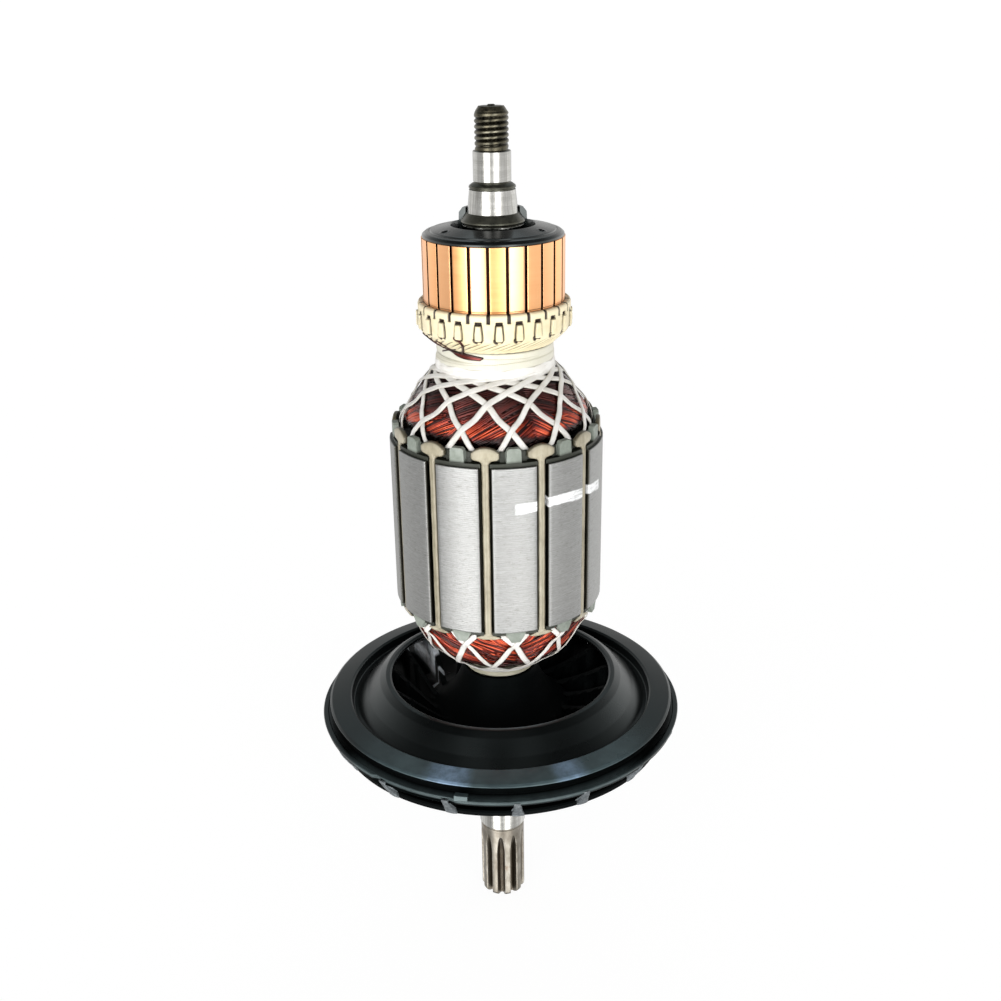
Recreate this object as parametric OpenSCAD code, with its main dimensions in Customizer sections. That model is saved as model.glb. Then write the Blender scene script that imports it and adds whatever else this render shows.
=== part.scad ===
// Armature of a universal motor: wound rotor, commutator, fan and cut pinion on one shaft.
// Millimetres, +Z up along the shaft, Z = 0 at the pinion end face.

/* [Shaft] */
// outside radius of the pinion teeth
pinion_r = 6.17; // [6.05:0.01:6.4]
// root radius of the pinion tooth gaps
pinion_root_r = 4.2; // [4:0.05:4.6]
// number of pinion teeth
pinion_teeth = 10; // [8:1:12]
// height at which the tooth gaps begin to run out
pinion_full_z = 14.2; // [12:0.1:15]
// radius of the cutter that leaves the run-out
hob_r = 12; // [9:0.5:14]
// height of the step from pinion to lower journal
lower_journal_z = 23.4; // [22.8:0.1:25]
// radius of the lower journal
lower_journal_r = 6.45; // [6.3:0.05:6.6]
// radius of the shaft through the core and commutator
core_shaft_r = 6.0; // [5.8:0.05:6.0]
// upper journal radius
upper_journal_r = 4.5; // [4.4:0.05:4.8]
// lower end of the upper journal
upper_journal_z0 = 203.7; // [203.6:0.1:204.5]
// upper end of the upper journal
upper_journal_z1 = 210.6; // [209:0.1:212]
// thread outside radius
thread_r = 4.0; // [3.9:0.05:4.3]
// height of the threaded end face
thread_top_z = 220.5; // [218:0.1:224]

/* [Core] */
// outside radius of the lamination stack
core_r = 27.0; // [26.7:0.1:28]
// lower face of the lamination stack
core_z0 = 98.3; // [98.2:0.1:99]
// upper face of the lamination stack
core_z1 = 141.6; // [141:0.1:141.6]
// number of slots
slots = 12; // [10:1:14]
// angle of the first slot, degrees from +X
slot_phase = -96.1; // [-120:0.1:0]
// width of a slot opening
slot_open = 2.2; // [1.8:0.1:3]
// end insulator thickness
insulator_t = 1.0; // [0.6:0.1:1.0]

/* [Commutator] */
// radius of the brush track
com_r = 17.2; // [17.1:0.05:17.6]
// number of bars
bars = 24; // [20:1:26]
// angle of the first slot between bars, degrees from +X
bar_phase = -94.5; // [-120:0.1:0]
// slot width between bars
bar_gap = 0.6; // [0.4:0.05:0.8]
// shoulder below the brush track, under its run-out groove
track_z0 = 175.2; // [174.8:0.1:175.6]
// upper edge of the brush track
track_z1 = 191.2; // [190.8:0.1:191.2]
// radius over the hooks
hook_r = 19.1; // [18.9:0.05:19.3]

/* [Fan] */
// number of blades
blades = 17; // [13:1:19]
// angle of the first blade end, degrees from +X
blade_phase = -85.4; // [-120:0.1:0]
// outer radius of the shroud flange
shroud_r = 48.8; // [48.7:0.1:50]
// radius of the intake lip
intake_r = 29.6; // [29.2:0.1:29.9]
// radius of the back plate
plate_r = 44.9; // [43:0.1:45.5]
// lower face of the back plate
plate_z = 57.4; // [57:0.1:57.8]

/* [Lacing] */
// width of a lacing tape
tape_w = 1.45; // [1.2:0.05:1.6]
// thickness of a lacing tape
tape_t = 0.28; // [0.2:0.01:0.3]

/* [Hidden] */
$fn = 96;
pitch_slot = 360 / slots;
pitch_bar = 360 / bars;
pitch_tooth = 360 / pinion_teeth;
pitch_blade = 360 / blades;
fan_seat_r = lower_journal_r + 0.15;
sleeve_r = 7.6;
slot_in_r = 14.6;
slot_in_w = 1.5;
slot_out_r = 21.6;
slot_out_w = 3.3;

steel = [0.72, 0.72, 0.72];
oxide = [0.16, 0.16, 0.13];
copper = [0.85, 0.55, 0.35];
black = [0.06, 0.065, 0.07];
resin = [0.93, 0.88, 0.72];
tape = [0.93, 0.92, 0.88];
enamel = [0.45, 0.05, 0.03];
paper = [0.72, 0.68, 0.55];
green = [0.55, 0.6, 0.52];

// a flat plate standing tangentially with its inner face at radius r
module standing(r, t) {
    translate([r, 0, 0]) rotate([90, 0, 90]) linear_extrude(t) children();
}

// ---------------------------------------------------------------- shaft
module tooth_gap_2d() {
    // half widths of a tooth gap at growing radius
    polygon([[pinion_root_r, -0.38], [pinion_root_r, 0.38], [4.7, 0.56], [5.4, 0.78], [6.9, 1.12],
        [6.9, -1.12], [5.4, -0.78], [4.7, -0.56]]);
}

module tooth_gap() {
    translate([0, 0, -1]) linear_extrude(pinion_full_z + 1) tooth_gap_2d();
    // the cutter leaves each gap along its own radius
    translate([pinion_root_r + hob_r, 0, pinion_full_z]) rotate([90, 0, 0])
        rotate_extrude()
            polygon([[0, -1.12], [hob_r + pinion_root_r - 6.9, -1.12], [hob_r + pinion_root_r - 5.4, -0.78],
                [hob_r + pinion_root_r - 4.7, -0.56], [hob_r, -0.38], [hob_r, 0.38],
                [hob_r + pinion_root_r - 4.7, 0.56], [hob_r + pinion_root_r - 5.4, 0.78],
                [hob_r + pinion_root_r - 6.9, 1.12], [0, 1.12]]);
}

module rotor_shaft() {
    color(steel) {
        difference() {
            rotate_extrude() polygon([[0, 0], [5.35, 0], [5.9, 0.25], [pinion_r, 0.85],
                [pinion_r, lower_journal_z - 0.5], [5.95, lower_journal_z - 0.35], [5.95, lower_journal_z],
                [lower_journal_r - 0.25, lower_journal_z], [lower_journal_r, lower_journal_z + 0.3],
                [lower_journal_r, 39.7], [lower_journal_r - 0.2, 39.9], [lower_journal_r - 0.2, 40.7],
                [fan_seat_r, 41.0], [fan_seat_r, 77.2], [core_shaft_r, 77.6], [core_shaft_r, 196.5], [6.05, 196.5],
                [5.49, 201.9], [5.25, 201.95], [5.25, 202.25], [5.63, 202.36], [5.45, 202.8],
                [4.55, 203.45], [4.3, 203.5], [4.3, upper_journal_z0],
                [upper_journal_r, upper_journal_z0 + 0.1], [upper_journal_r, upper_journal_z1 - 0.1],
                [upper_journal_r - 0.15, upper_journal_z1], [3.85, upper_journal_z1 + 0.3],
                [3.85, upper_journal_z1 + 0.9], [thread_r, upper_journal_z1 + 1.5],
                [thread_r, thread_top_z - 1.3], [2.75, thread_top_z], [0.95, thread_top_z],
                [0.75, thread_top_z + 0.35], [0, thread_top_z + 0.35]]);
            for (i = [0:pinion_teeth - 1]) rotate([0, 0, -59.75 + i * pitch_tooth]) tooth_gap();
            // centre hole in the pinion end
            translate([0, 0, -0.01]) cylinder(h = 2.4, r1 = 1.9, r2 = 0.6);
        }
    }
}

module collar_ring() {
    color(oxide) rotate_extrude() polygon([[6.06, 193.3], [6.85, 193.3], [6.85, 194.0], [7.45, 194.2], [7.6, 194.5],
        [7.5, 194.8], [6.25, 196.5], [6.06, 196.5]]);
}

module insulating_sleeve() {
    color(resin) rotate_extrude() polygon([[fan_seat_r + 0.02, 75.7], [9.1, 75.7], [9.4, 76.0], [9.4, 77.9], [9.1, 78.2], [sleeve_r, 78.2],
        [sleeve_r, 168.0], [core_shaft_r, 168.0], [core_shaft_r, 77.65], [fan_seat_r + 0.02, 77.25]]);
}

// ---------------------------------------------------------------- commutator
module commutator_bush() {
    color(steel) rotate_extrude() polygon([[core_shaft_r, 168.2], [7.3, 168.2], [7.3, 192.6], [core_shaft_r, 192.6]]);
}

module commutator_hub() {
    color(black) {
        difference() {
            rotate_extrude() polygon([[7.32, 169.4], [9.45, 169.4], [9.45, 191.25], [com_r - 0.15, 191.25], [16.95, 191.75],
                [16.3, 192.35], [15.0, 192.75], [10.3, 193.85], [10.1, 193.7], [9.7, 191.6], [7.9, 191.2],
                [7.32, 191.2]]);
            // shallow sprue dimples in the face
            for (a = [-148, -32, 118]) rotate([0, 0, a]) translate([13.2, 0, 193.05]) sphere(r = 0.75, $fn = 32);
        }
        // raised half collar at the back of the recess, its top sloping up to the right
        intersection() {
            rotate_extrude() polygon([[7.4, 191.1], [8.5, 191.1], [8.25, 196.4], [6.2, 198.95], [6.2, 196.7], [7.72, 194.9],
                [7.72, 194.2], [7.4, 193.9]]);
            translate([-10, 1.6, 190]) cube([20, 10, 7.6]);
        }
    }
}

module bar_slots(r0, r1, z0, h, w) {
    for (i = [0:bars - 1]) rotate([0, 0, bar_phase + i * pitch_bar]) translate([r0, -w / 2, z0]) cube([r1 - r0, w, h]);
}

module hook() {
    // tongue folded up against the riser
    standing(18.2, hook_r - 18.2) polygon([[-0.8, 170.1], [-1.1, 170.6], [-1.12, 171.6], [-0.72, 175.0],
        [0.72, 175.0], [1.12, 171.6], [1.1, 170.6], [0.8, 170.1]]);
}

module commutator_bars() {
    color(copper) {
        difference() {
            union() {
                rotate_extrude() polygon([[9.5, 171.0], [17.9, 170.2], [18.35, 170.2], [18.35, 174.4], [17.9, track_z0],
                    [com_r - 0.3, track_z0], [com_r - 0.3, track_z0 + 1.4], [com_r, track_z0 + 1.4],
                    [com_r, track_z1], [9.5, track_z1]]);
                for (i = [0:bars - 1]) rotate([0, 0, bar_phase + (i + 0.5) * pitch_bar]) hook();
            }
            bar_slots(8, 21, 168, 26, bar_gap);
        }
    }
}

module mica_plates() {
    color(paper) bar_slots(9.52, com_r - 0.7, 171.1, track_z1 - 171.1, bar_gap - 0.02);
}

module riser_resin() {
    color(resin) difference() {
        rotate_extrude() polygon([[9.5, 166.0], [14.6, 166.0], [15.0, 166.1], [17.3, 168.2], [18.55, 169.6],
            [18.8, 170.4], [18.8, 175.5], [18.5, 175.95], [com_r - 0.28, 175.95], [com_r - 0.28, track_z0 + 0.02],
            [17.93, track_z0 + 0.02], [18.37, 174.45], [18.37, 170.18], [17.9, 170.18], [9.5, 170.98]]);
        // pockets around the hooks
        for (i = [0:bars - 1]) rotate([0, 0, bar_phase + (i + 0.5) * pitch_bar])
            standing(18.1, 1.4) polygon([[-0.84, 170.08], [-1.14, 170.58], [-1.16, 171.6], [-0.76, 175.3],
                [0.76, 175.3], [1.16, 171.6], [1.14, 170.58], [0.84, 170.08]]);
        // the cuts between bars run into the resin
        bar_slots(16, 20, 174.9, 2, bar_gap);
    }
}

module lead() {
    // one coil lead laid down the resin cone from a hook to the neck
    p0 = [18.87, 0, 169.15];
    p1 = [15.6 * cos(-14), 15.6 * sin(-14), 165.95];
    d = p1 - p0;
    l = norm(d);
    translate(p0) rotate([0, acos(d[2] / l), atan2(d[1], d[0])]) cylinder(h = l, r = 0.36, $fn = 24);
}

module coil_leads() {
    color(resin) for (i = [0:bars - 1]) rotate([0, 0, bar_phase + (i + 0.4) * pitch_bar]) lead();
}

// ---------------------------------------------------------------- windings
// bare coil surface: radius against height
upper_coil = [[22.3, 142.7], [22.5, 145.0], [23.45, 146.6], [23.35, 147.5], [22.5, 149.1], [21.75, 150.2],
    [20.35, 152.1], [19.1, 154.1], [18.35, 155.1], [17.45, 156.2], [16.45, 157.3], [15.5, 158.3], [14.3, 159.3],
    [12.9, 159.9], [12.9, 165.9], [9.6, 165.9], [9.6, 160.0], [9.6, 142.7]];
lower_coil = [[9.7, 97.2], [22.6, 97.2], [23.9, 95.6], [24.1, 94.0], [22.7, 92.0], [21.8, 90.0], [20.9, 88.0],
    [19.7, 86.0], [17.6, 84.0], [15.1, 82.0], [12.7, 80.2], [10.6, 79.6], [9.7, 79.6]];

module slot_2d(e = 0) {
    translate([slot_in_r, 0]) circle(r = slot_in_w - e, $fn = 48);
    translate([slot_out_r, 0]) circle(r = slot_out_w - e, $fn = 64);
    polygon([[slot_in_r, -(slot_in_w - e)], [slot_out_r, -(slot_out_w - e)], [slot_out_r, slot_out_w - e],
        [slot_in_r, slot_in_w - e]]);
}

module each_slot() {
    for (i = [0:slots - 1]) rotate([0, 0, slot_phase + i * pitch_slot]) children();
}

module each_tooth() {
    for (i = [0:slots - 1]) rotate([0, 0, slot_phase + (i + 0.5) * pitch_slot]) children();
}

module lamination_stack() {
    color(steel) translate([0, 0, core_z0]) linear_extrude(core_z1 - core_z0) difference() {
        circle(r = core_r, $fn = 180);
        circle(r = sleeve_r + 0.02);
        each_slot() {
            slot_2d();
            translate([24, -slot_open / 2]) square([5, slot_open]);
        }
    }
}

module insulator_plate_2d(r) {
    difference() {
        circle(r = r, $fn = 144);
        circle(r = sleeve_r + 0.1);
        each_slot() {
            slot_2d();
            translate([24, -slot_open / 2]) square([5, slot_open]);
        }
    }
}

module upper_end_insulator() {
    color(green) {
        translate([0, 0, core_z1]) linear_extrude(insulator_t) insulator_plate_2d(26.3);
        each_tooth() standing(24.75, 1.45) polygon([[-1.85, core_z1 + 0.5], [-1.7, core_z1 + 4.1], [-1.2, core_z1 + 4.6],
            [1.2, core_z1 + 4.6], [1.7, core_z1 + 4.1], [1.85, core_z1 + 0.5]]);
        each_tooth() standing(23.6, 1.3) polygon([[-3.2, core_z1 + 0.5], [-3.2, core_z1 + 2.2], [3.2, core_z1 + 2.2],
            [3.2, core_z1 + 0.5]]);
    }
}

module lower_end_insulator() {
    color(green) {
        translate([0, 0, core_z0 - insulator_t]) linear_extrude(insulator_t) insulator_plate_2d(26.3);
        each_tooth() standing(25.0, 1.3) polygon([[-2.25, core_z0 - 0.5], [2.25, core_z0 - 0.5], [2.15, core_z0 - 1.3],
            [1.1, core_z0 - 3.1], [-1.1, core_z0 - 3.1], [-2.15, core_z0 - 1.3]]);
    }
}

module slot_liners() {
    color(paper) each_slot() translate([0, 0, core_z0 - insulator_t]) linear_extrude(core_z1 - core_z0 + 2 * insulator_t) difference() {
        slot_2d(0.02);
        slot_2d(0.3);
        translate([23.2, -1.2]) square([3, 2.4]);
    }
}

module wedge_2d() {
    intersection() {
        slot_2d(0.32);
        translate([23.3, -4]) square([3, 8]);
    }
    // ridge standing in the slot opening
    polygon([[24.4, -0.82], [26.45, -0.82], [26.62, -0.62], [26.62, -0.12], [26.35, 0], [26.62, 0.12],
        [26.62, 0.62], [26.45, 0.82], [24.4, 0.82]]);
}

module slot_wedges() {
    color(paper) each_slot() {
        translate([0, 0, core_z0 - 1.5]) linear_extrude(core_z1 - core_z0 + 3.0) wedge_2d();
        // cap above the core
        standing(25.05, 1.3) intersection() {
            translate([0, core_z1 + 0.05]) circle(r = 4.95);
            polygon([[-1.0, core_z1 + 0.6], [-1.0, core_z1 + 1.2], [-3.45, core_z1 + 2.3], [-3.45, core_z1 + 6],
                [3.45, core_z1 + 6], [3.45, core_z1 + 2.3], [1.0, core_z1 + 1.2], [1.0, core_z1 + 0.6]]);
        }
        // flare below the core
        standing(24.9, 1.3) polygon([[-0.9, core_z0 - 0.6], [-0.9, core_z0 - 1.05], [-3.3, core_z0 - 1.65],
            [-3.3, core_z0 - 2.05], [-1.5, core_z0 - 2.4], [1.5, core_z0 - 2.4], [3.3, core_z0 - 2.05],
            [3.3, core_z0 - 1.65], [0.9, core_z0 - 1.05], [0.9, core_z0 - 0.6]]);
    }
}

module armature_coils() {
    color(enamel) {
        rotate_extrude() polygon(upper_coil);
        rotate_extrude() polygon(lower_coil);
        each_slot() translate([0, 0, 96.8]) linear_extrude(46.3) intersection() {
            slot_2d(0.34);
            translate([10, -4]) square([13.2, 8]);
        }
    }
}

module neck_binding() {
    color(tape) rotate_extrude() polygon([[12.92, 160.05], [14.1, 160.05], [14.45, 160.3], [14.5, 160.9], [14.2, 161.4],
        [14.0, 161.5], [14.25, 161.7], [14.3, 162.3], [14.05, 162.8], [13.85, 162.9], [14.1, 163.1],
        [14.15, 163.7], [13.95, 164.2], [13.75, 164.3], [14.0, 164.5], [14.0, 165.1], [13.7, 165.6],
        [12.92, 165.6]]);
}

module lower_binding() {
    color(tape) rotate_extrude() polygon([[10.1, 79.55], [9.75, 79.2], [9.75, 78.6], [10.1, 78.3], [12.4, 78.6],
        [12.9, 79.1], [12.85, 79.7], [12.65, 80.05], [10.7, 79.55]]);
}

// ---------------------------------------------------------------- lacing
// radius of the lacing path against height
upper_path = [[143.8, 24.0], [146.4, 23.95], [147.6, 23.5], [149.1, 22.65], [150.2, 21.95], [152.1, 20.5],
    [154.1, 19.25], [155.1, 18.5], [156.2, 17.6], [157.3, 16.6], [158.3, 15.65], [158.9, 15.0]];
// turn away from the crossing over a tooth, degrees, against height
upper_turn = [[143.8, -6.0], [145.5, -5.4], [149.2, 0], [151.6, 7.5], [154.5, 15], [156.9, 30], [158.0, 42], [158.9, 56]];
lower_path = [[80.7, 13.75], [82.0, 15.45], [84.0, 17.95], [86.0, 19.95], [88.0, 21.1], [90.0, 22.0], [92.0, 22.95],
    [94.0, 24.28], [96.4, 24.28]];
lower_turn = [[80.7, 27], [82.0, 21], [84.2, 15], [88.5, 6.5], [93.0, 0], [95.0, -4.0], [96.4, -7.6]];

function on_path(z, turn, path, a0, sgn) =
    let (a = a0 + sgn * lookup(z, turn), r = lookup(z, path)) [r * cos(a), r * sin(a), z];
function unit(v) = v / norm(v);
function path_normal(z, path, p) =
    let (dr = lookup(z + 0.6, path) - lookup(z - 0.6, path), s = sqrt(1.44 + dr * dr), a = atan2(p[1], p[0]))
    [cos(a) * 1.2 / s, sin(a) * 1.2 / s, -dr / s];

module ribbon(z0, z1, n, turn, path, a0, sgn, lift) {
    zs = [for (i = [0:n]) z0 + (z1 - z0) * i / n];
    pts = [for (z = zs)
        let (p = on_path(z, turn, path, a0, sgn), q = on_path(z + 0.05, turn, path, a0, sgn),
            k = on_path(z - 0.05, turn, path, a0, sgn), t = unit(q - k), m = path_normal(z, path, p),
            b = unit(cross(m, t)) * tape_w / 2)
        each [p - b + m * lift, p + b + m * lift, p + b + m * (lift + tape_t), p - b + m * (lift + tape_t)]];
    polyhedron(points = pts, faces = concat([[0, 1, 2, 3]],
        [for (i = [0:n - 1], j = [0:3]) each [[4 * i + j, 4 * i + 4 + j, 4 * i + (j + 1) % 4],
            [4 * i + (j + 1) % 4, 4 * i + 4 + j, 4 * i + 4 + (j + 1) % 4]]],
        [[4 * n + 3, 4 * n + 2, 4 * n + 1, 4 * n]]), convexity = 4);
}

module upper_lacing_under() {
    color(tape) for (i = [0:slots - 1])
        ribbon(143.9, 158.8, 18, upper_turn, upper_path, slot_phase + (i + 0.5) * pitch_slot, -1, 0.07);
}

module upper_lacing_over() {
    color(tape) for (i = [0:slots - 1])
        ribbon(143.9, 158.8, 18, upper_turn, upper_path, slot_phase + (i + 0.5) * pitch_slot, 1, 0.2 + tape_t);
}

module lower_lacing_under() {
    color(tape) for (i = [0:slots - 1])
        ribbon(80.9, 96.2, 16, lower_turn, lower_path, slot_phase + (i + 0.5) * pitch_slot, 1, 0.02);
}

module lower_lacing_over() {
    color(tape) for (i = [0:slots - 1])
        ribbon(80.9, 96.2, 16, lower_turn, lower_path, slot_phase + (i + 0.5) * pitch_slot, -1, 0.04 + tape_t);
}

// ---------------------------------------------------------------- fan
module blade_arc() {
    // blade in plan, swept at its inner end and radial at its tip on +X
    intersection() {
        difference() {
            translate([55.5, 96.8]) circle(r = 98.0, $fn = 360);
            translate([55.5, 96.8]) circle(r = 96.4, $fn = 360);
        }
        polygon([[8, 0], [60, -14], [60, 14], [30, 20], [8, 22]]);
    }
}

module fan_impeller() {
    color(black) difference() {
        union() {
            rotate_extrude() polygon([[fan_seat_r, plate_z], [plate_r, plate_z], [plate_r, plate_z + 1.0],
                [plate_r - 0.3, plate_z + 1.4], [30, plate_z + 1.9], [24, plate_z + 3.0], [19.4, plate_z + 5.0],
                [15.6, plate_z + 8.0], [12.8, plate_z + 11.6], [11.0, plate_z + 15.0], [10.2, 75.0],
                [9.9, 75.5], [fan_seat_r, 75.5]]);
            intersection() {
                for (i = [0:blades - 1]) rotate([0, 0, blade_phase + i * pitch_blade]) {
                    translate([0, 0, plate_z + 0.6]) linear_extrude(14) blade_arc();
                    // the tip thickens towards the back plate
                    standing(41.5, 6.5) polygon([[-1.6, plate_z + 0.6], [-0.85, 62.0], [0.85, 62.0], [1.6, plate_z + 0.6]]);
                }
                rotate_extrude() polygon([[15.5, plate_z + 0.6], [plate_r - 0.05, plate_z + 0.6],
                    [plate_r - 0.02, plate_z + 1.4], [47.9, 62.35], [40.0, 63.95], [36.0, 66.6],
                    [31.9, 70.4], [30.2, 71.7], [28.6, 70.9], [18.6, plate_z + 6.6], [15.5, plate_z + 6.2]]);
            }
        }
        // lightening groove under the hub
        rotate_extrude() polygon([[10.5, plate_z - 1], [23.0, plate_z - 1], [23.0, plate_z + 0.4], [18.6, plate_z + 3.2],
            [14.6, plate_z + 6.2], [12.0, plate_z + 8.0], [10.5, plate_z + 8.0]]);
    }
}

module fan_shroud() {
    color(black) {
        rotate_extrude() polygon([[intake_r, 72.2], [intake_r + 0.15, 72.9], [intake_r + 0.7, 73.25],
            [31.3, 73.1], [33.0, 71.9], [36.4, 68.5], [39.4, 66.1], [40.4, 65.7], [40.75, 68.1], [41.3, 68.45],
            [46.2, 67.6], [46.85, 67.1], [46.6, 66.7], [45.4, 66.3], [45.2, 66.0], [45.2, 64.3], [45.4, 64.1],
            [47.3, 64.05], [47.5, 64.2], [48.6, 64.15], [shroud_r, 63.95],
            [shroud_r, 62.95], [48.6, 62.75], [47.9, 62.42], [40.05, 64.02], [36.05, 66.67], [31.95, 70.47],
            [30.25, 71.77], [intake_r + 0.1, 71.9]]);
        // small moulded step on the flange
        rotate([0, 0, -102]) translate([47.1, -1.6, 63.9]) cube([1.55, 3.2, 1.5]);
    }
}

rotor_shaft();
collar_ring();
commutator_bush();
commutator_hub();
commutator_bars();
mica_plates();
riser_resin();
coil_leads();
neck_binding();
upper_lacing_under();
upper_lacing_over();
armature_coils();
slot_liners();
slot_wedges();
upper_end_insulator();
lower_end_insulator();
lamination_stack();
lower_lacing_under();
lower_lacing_over();
lower_binding();
insulating_sleeve();
fan_impeller();
fan_shroud();
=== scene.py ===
import math

import bmesh
import bpy
import numpy as np
from mathutils import Matrix, Vector


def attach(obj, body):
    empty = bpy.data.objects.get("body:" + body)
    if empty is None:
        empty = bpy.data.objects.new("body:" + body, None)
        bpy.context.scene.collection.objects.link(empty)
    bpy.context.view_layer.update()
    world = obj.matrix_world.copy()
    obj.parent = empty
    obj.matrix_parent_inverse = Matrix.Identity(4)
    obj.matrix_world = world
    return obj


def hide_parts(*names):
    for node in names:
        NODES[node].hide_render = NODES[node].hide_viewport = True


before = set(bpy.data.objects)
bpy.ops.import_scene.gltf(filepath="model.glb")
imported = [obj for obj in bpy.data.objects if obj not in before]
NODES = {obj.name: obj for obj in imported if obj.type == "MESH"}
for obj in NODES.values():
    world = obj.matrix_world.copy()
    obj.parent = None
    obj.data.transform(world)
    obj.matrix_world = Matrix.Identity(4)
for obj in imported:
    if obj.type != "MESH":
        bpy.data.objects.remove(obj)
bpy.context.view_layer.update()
MM = 0.001
TAU = 2 * math.pi
rng = np.random.RandomState(11)
scene = bpy.context.scene
COL = scene.collection


# ------------------------------------------------------------------ node helpers
class Mat:
    """A Principled material with short calls for its procedural nodes."""

    def __init__(self, name, base=(0.5, 0.5, 0.5), metallic=0.0, rough=0.5, coat=0.0, coat_rough=0.1,
                 aniso=0.0, spec=0.5, sheen=0.0, sss=0.0):
        self.m = bpy.data.materials.new(name)
        self.m.use_nodes = True
        self.t = self.m.node_tree
        self.t.nodes.clear()
        self.out = self.t.nodes.new("ShaderNodeOutputMaterial")
        self.b = self.t.nodes.new("ShaderNodeBsdfPrincipled")
        self.t.links.new(self.b.outputs[0], self.out.inputs[0])
        self.set("Base Color", (*base, 1.0))
        self.set("Metallic", metallic)
        self.set("Roughness", rough)
        self.set("Coat Weight", coat)
        self.set("Coat Roughness", coat_rough)
        self.set("Anisotropic", aniso)
        self.set("Specular IOR Level", spec)
        self.set("Sheen Weight", sheen)
        if sss:
            self.set("Subsurface Weight", sss)
            self.set("Subsurface Radius", (0.0015, 0.001, 0.0006))
            self.set("Subsurface Scale", 1.0)
        self.obj = self.n("ShaderNodeTexCoord").outputs["Object"]

    def set(self, name, value):
        self.b.inputs[name].default_value = value

    def n(self, kind, **inputs):
        node = self.t.nodes.new(kind)
        for k, v in inputs.items():
            k = k.replace("_", " ")
            if k in node.inputs:
                self.plug(node.inputs[k], v)
        return node

    def plug(self, sock, v):
        if isinstance(v, bpy.types.NodeSocket):
            self.t.links.new(v, sock)
        elif v is not None:
            sock.default_value = v

    def link(self, v, name):
        self.plug(self.b.inputs[name], v)

    def math(self, op, a, b=None, c=None, clamp=False):
        node = self.t.nodes.new("ShaderNodeMath")
        node.operation = op
        node.use_clamp = clamp
        for i, v in enumerate((a, b, c)):
            if v is not None:
                self.plug(node.inputs[i], v)
        return node.outputs[0]

    def xyz(self, vec=None):
        node = self.t.nodes.new("ShaderNodeSeparateXYZ")
        self.plug(node.inputs[0], vec or self.obj)
        return node.outputs

    def vec(self, x, y, z):
        node = self.t.nodes.new("ShaderNodeCombineXYZ")
        for i, v in enumerate((x, y, z)):
            self.plug(node.inputs[i], v)
        return node.outputs[0]

    def scaled(self, sx, sy, sz, vec=None):
        node = self.t.nodes.new("ShaderNodeVectorMath")
        node.operation = "MULTIPLY"
        self.plug(node.inputs[0], vec or self.obj)
        node.inputs[1].default_value = (sx, sy, sz)
        return node.outputs[0]

    def noise(self, vec, scale=1.0, detail=3.0, rough=0.55, distort=0.0):
        node = self.t.nodes.new("ShaderNodeTexNoise")
        self.plug(node.inputs["Vector"], vec)
        node.inputs["Scale"].default_value = scale
        node.inputs["Detail"].default_value = detail
        node.inputs["Roughness"].default_value = rough
        node.inputs["Distortion"].default_value = distort
        return node.outputs["Fac"]

    def voronoi(self, vec, scale=1.0, feature="F1", out="Distance"):
        node = self.t.nodes.new("ShaderNodeTexVoronoi")
        node.feature = feature
        self.plug(node.inputs["Vector"], vec)
        node.inputs["Scale"].default_value = scale
        return node.outputs[out]

    def ramp(self, fac, stops, mode="LINEAR"):
        node = self.t.nodes.new("ShaderNodeValToRGB")
        cr = node.color_ramp
        cr.interpolation = mode
        while len(cr.elements) > 1:
            cr.elements.remove(cr.elements[-1])
        for i, (p, c) in enumerate(stops):
            e = cr.elements[0] if i == 0 else cr.elements.new(p)
            e.position = p
            c = (c, c, c) if isinstance(c, (int, float)) else c
            e.color = (*c[:3], 1.0)
        self.plug(node.inputs[0], fac)
        return node.outputs[0]

    def mix(self, fac, a, b, blend="MIX"):
        node = self.t.nodes.new("ShaderNodeMix")
        node.data_type = "RGBA"
        node.blend_type = blend
        self.plug(node.inputs[0], fac)
        for i, v in ((6, a), (7, b)):
            if isinstance(v, tuple) and len(v) == 3:
                v = (*v, 1.0)
            self.plug(node.inputs[i], v)
        return node.outputs[2]

    def attr(self, name):
        node = self.t.nodes.new("ShaderNodeAttribute")
        node.attribute_name = name
        return node.outputs["Fac"]

    def bump(self, height, strength=0.3, distance=0.0002, normal=None):
        node = self.t.nodes.new("ShaderNodeBump")
        self.plug(node.inputs["Height"], height)
        node.inputs["Strength"].default_value = strength
        node.inputs["Distance"].default_value = distance
        if normal is not None:
            self.plug(node.inputs["Normal"], normal)
        return node.outputs[0]

    def az(self):
        """Degrees round the axis from the front, towards +X."""
        x, y, _ = self.xyz()
        return self.math("MULTIPLY", self.math("ARCTAN2", x, self.math("MULTIPLY", y, -1.0)), 57.29578)

    def z_mm(self):
        return self.math("MULTIPLY", self.xyz()[2], 1000.0)

    def band(self, v, a0, a1, b0, b1):
        """0 before a0, 1 from a1 to b0, 0 after b1."""
        up = self.t.nodes.new("ShaderNodeMapRange")
        up.interpolation_type = "SMOOTHSTEP"
        self.plug(up.inputs["Value"], v)
        up.inputs["From Min"].default_value, up.inputs["From Max"].default_value = a0, a1
        dn = self.t.nodes.new("ShaderNodeMapRange")
        dn.interpolation_type = "SMOOTHSTEP"
        self.plug(dn.inputs["Value"], v)
        dn.inputs["From Min"].default_value, dn.inputs["From Max"].default_value = b0, b1
        dn.inputs["To Min"].default_value, dn.inputs["To Max"].default_value = 1.0, 0.0
        return self.math("MULTIPLY", up.outputs[0], dn.outputs[0])


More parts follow.
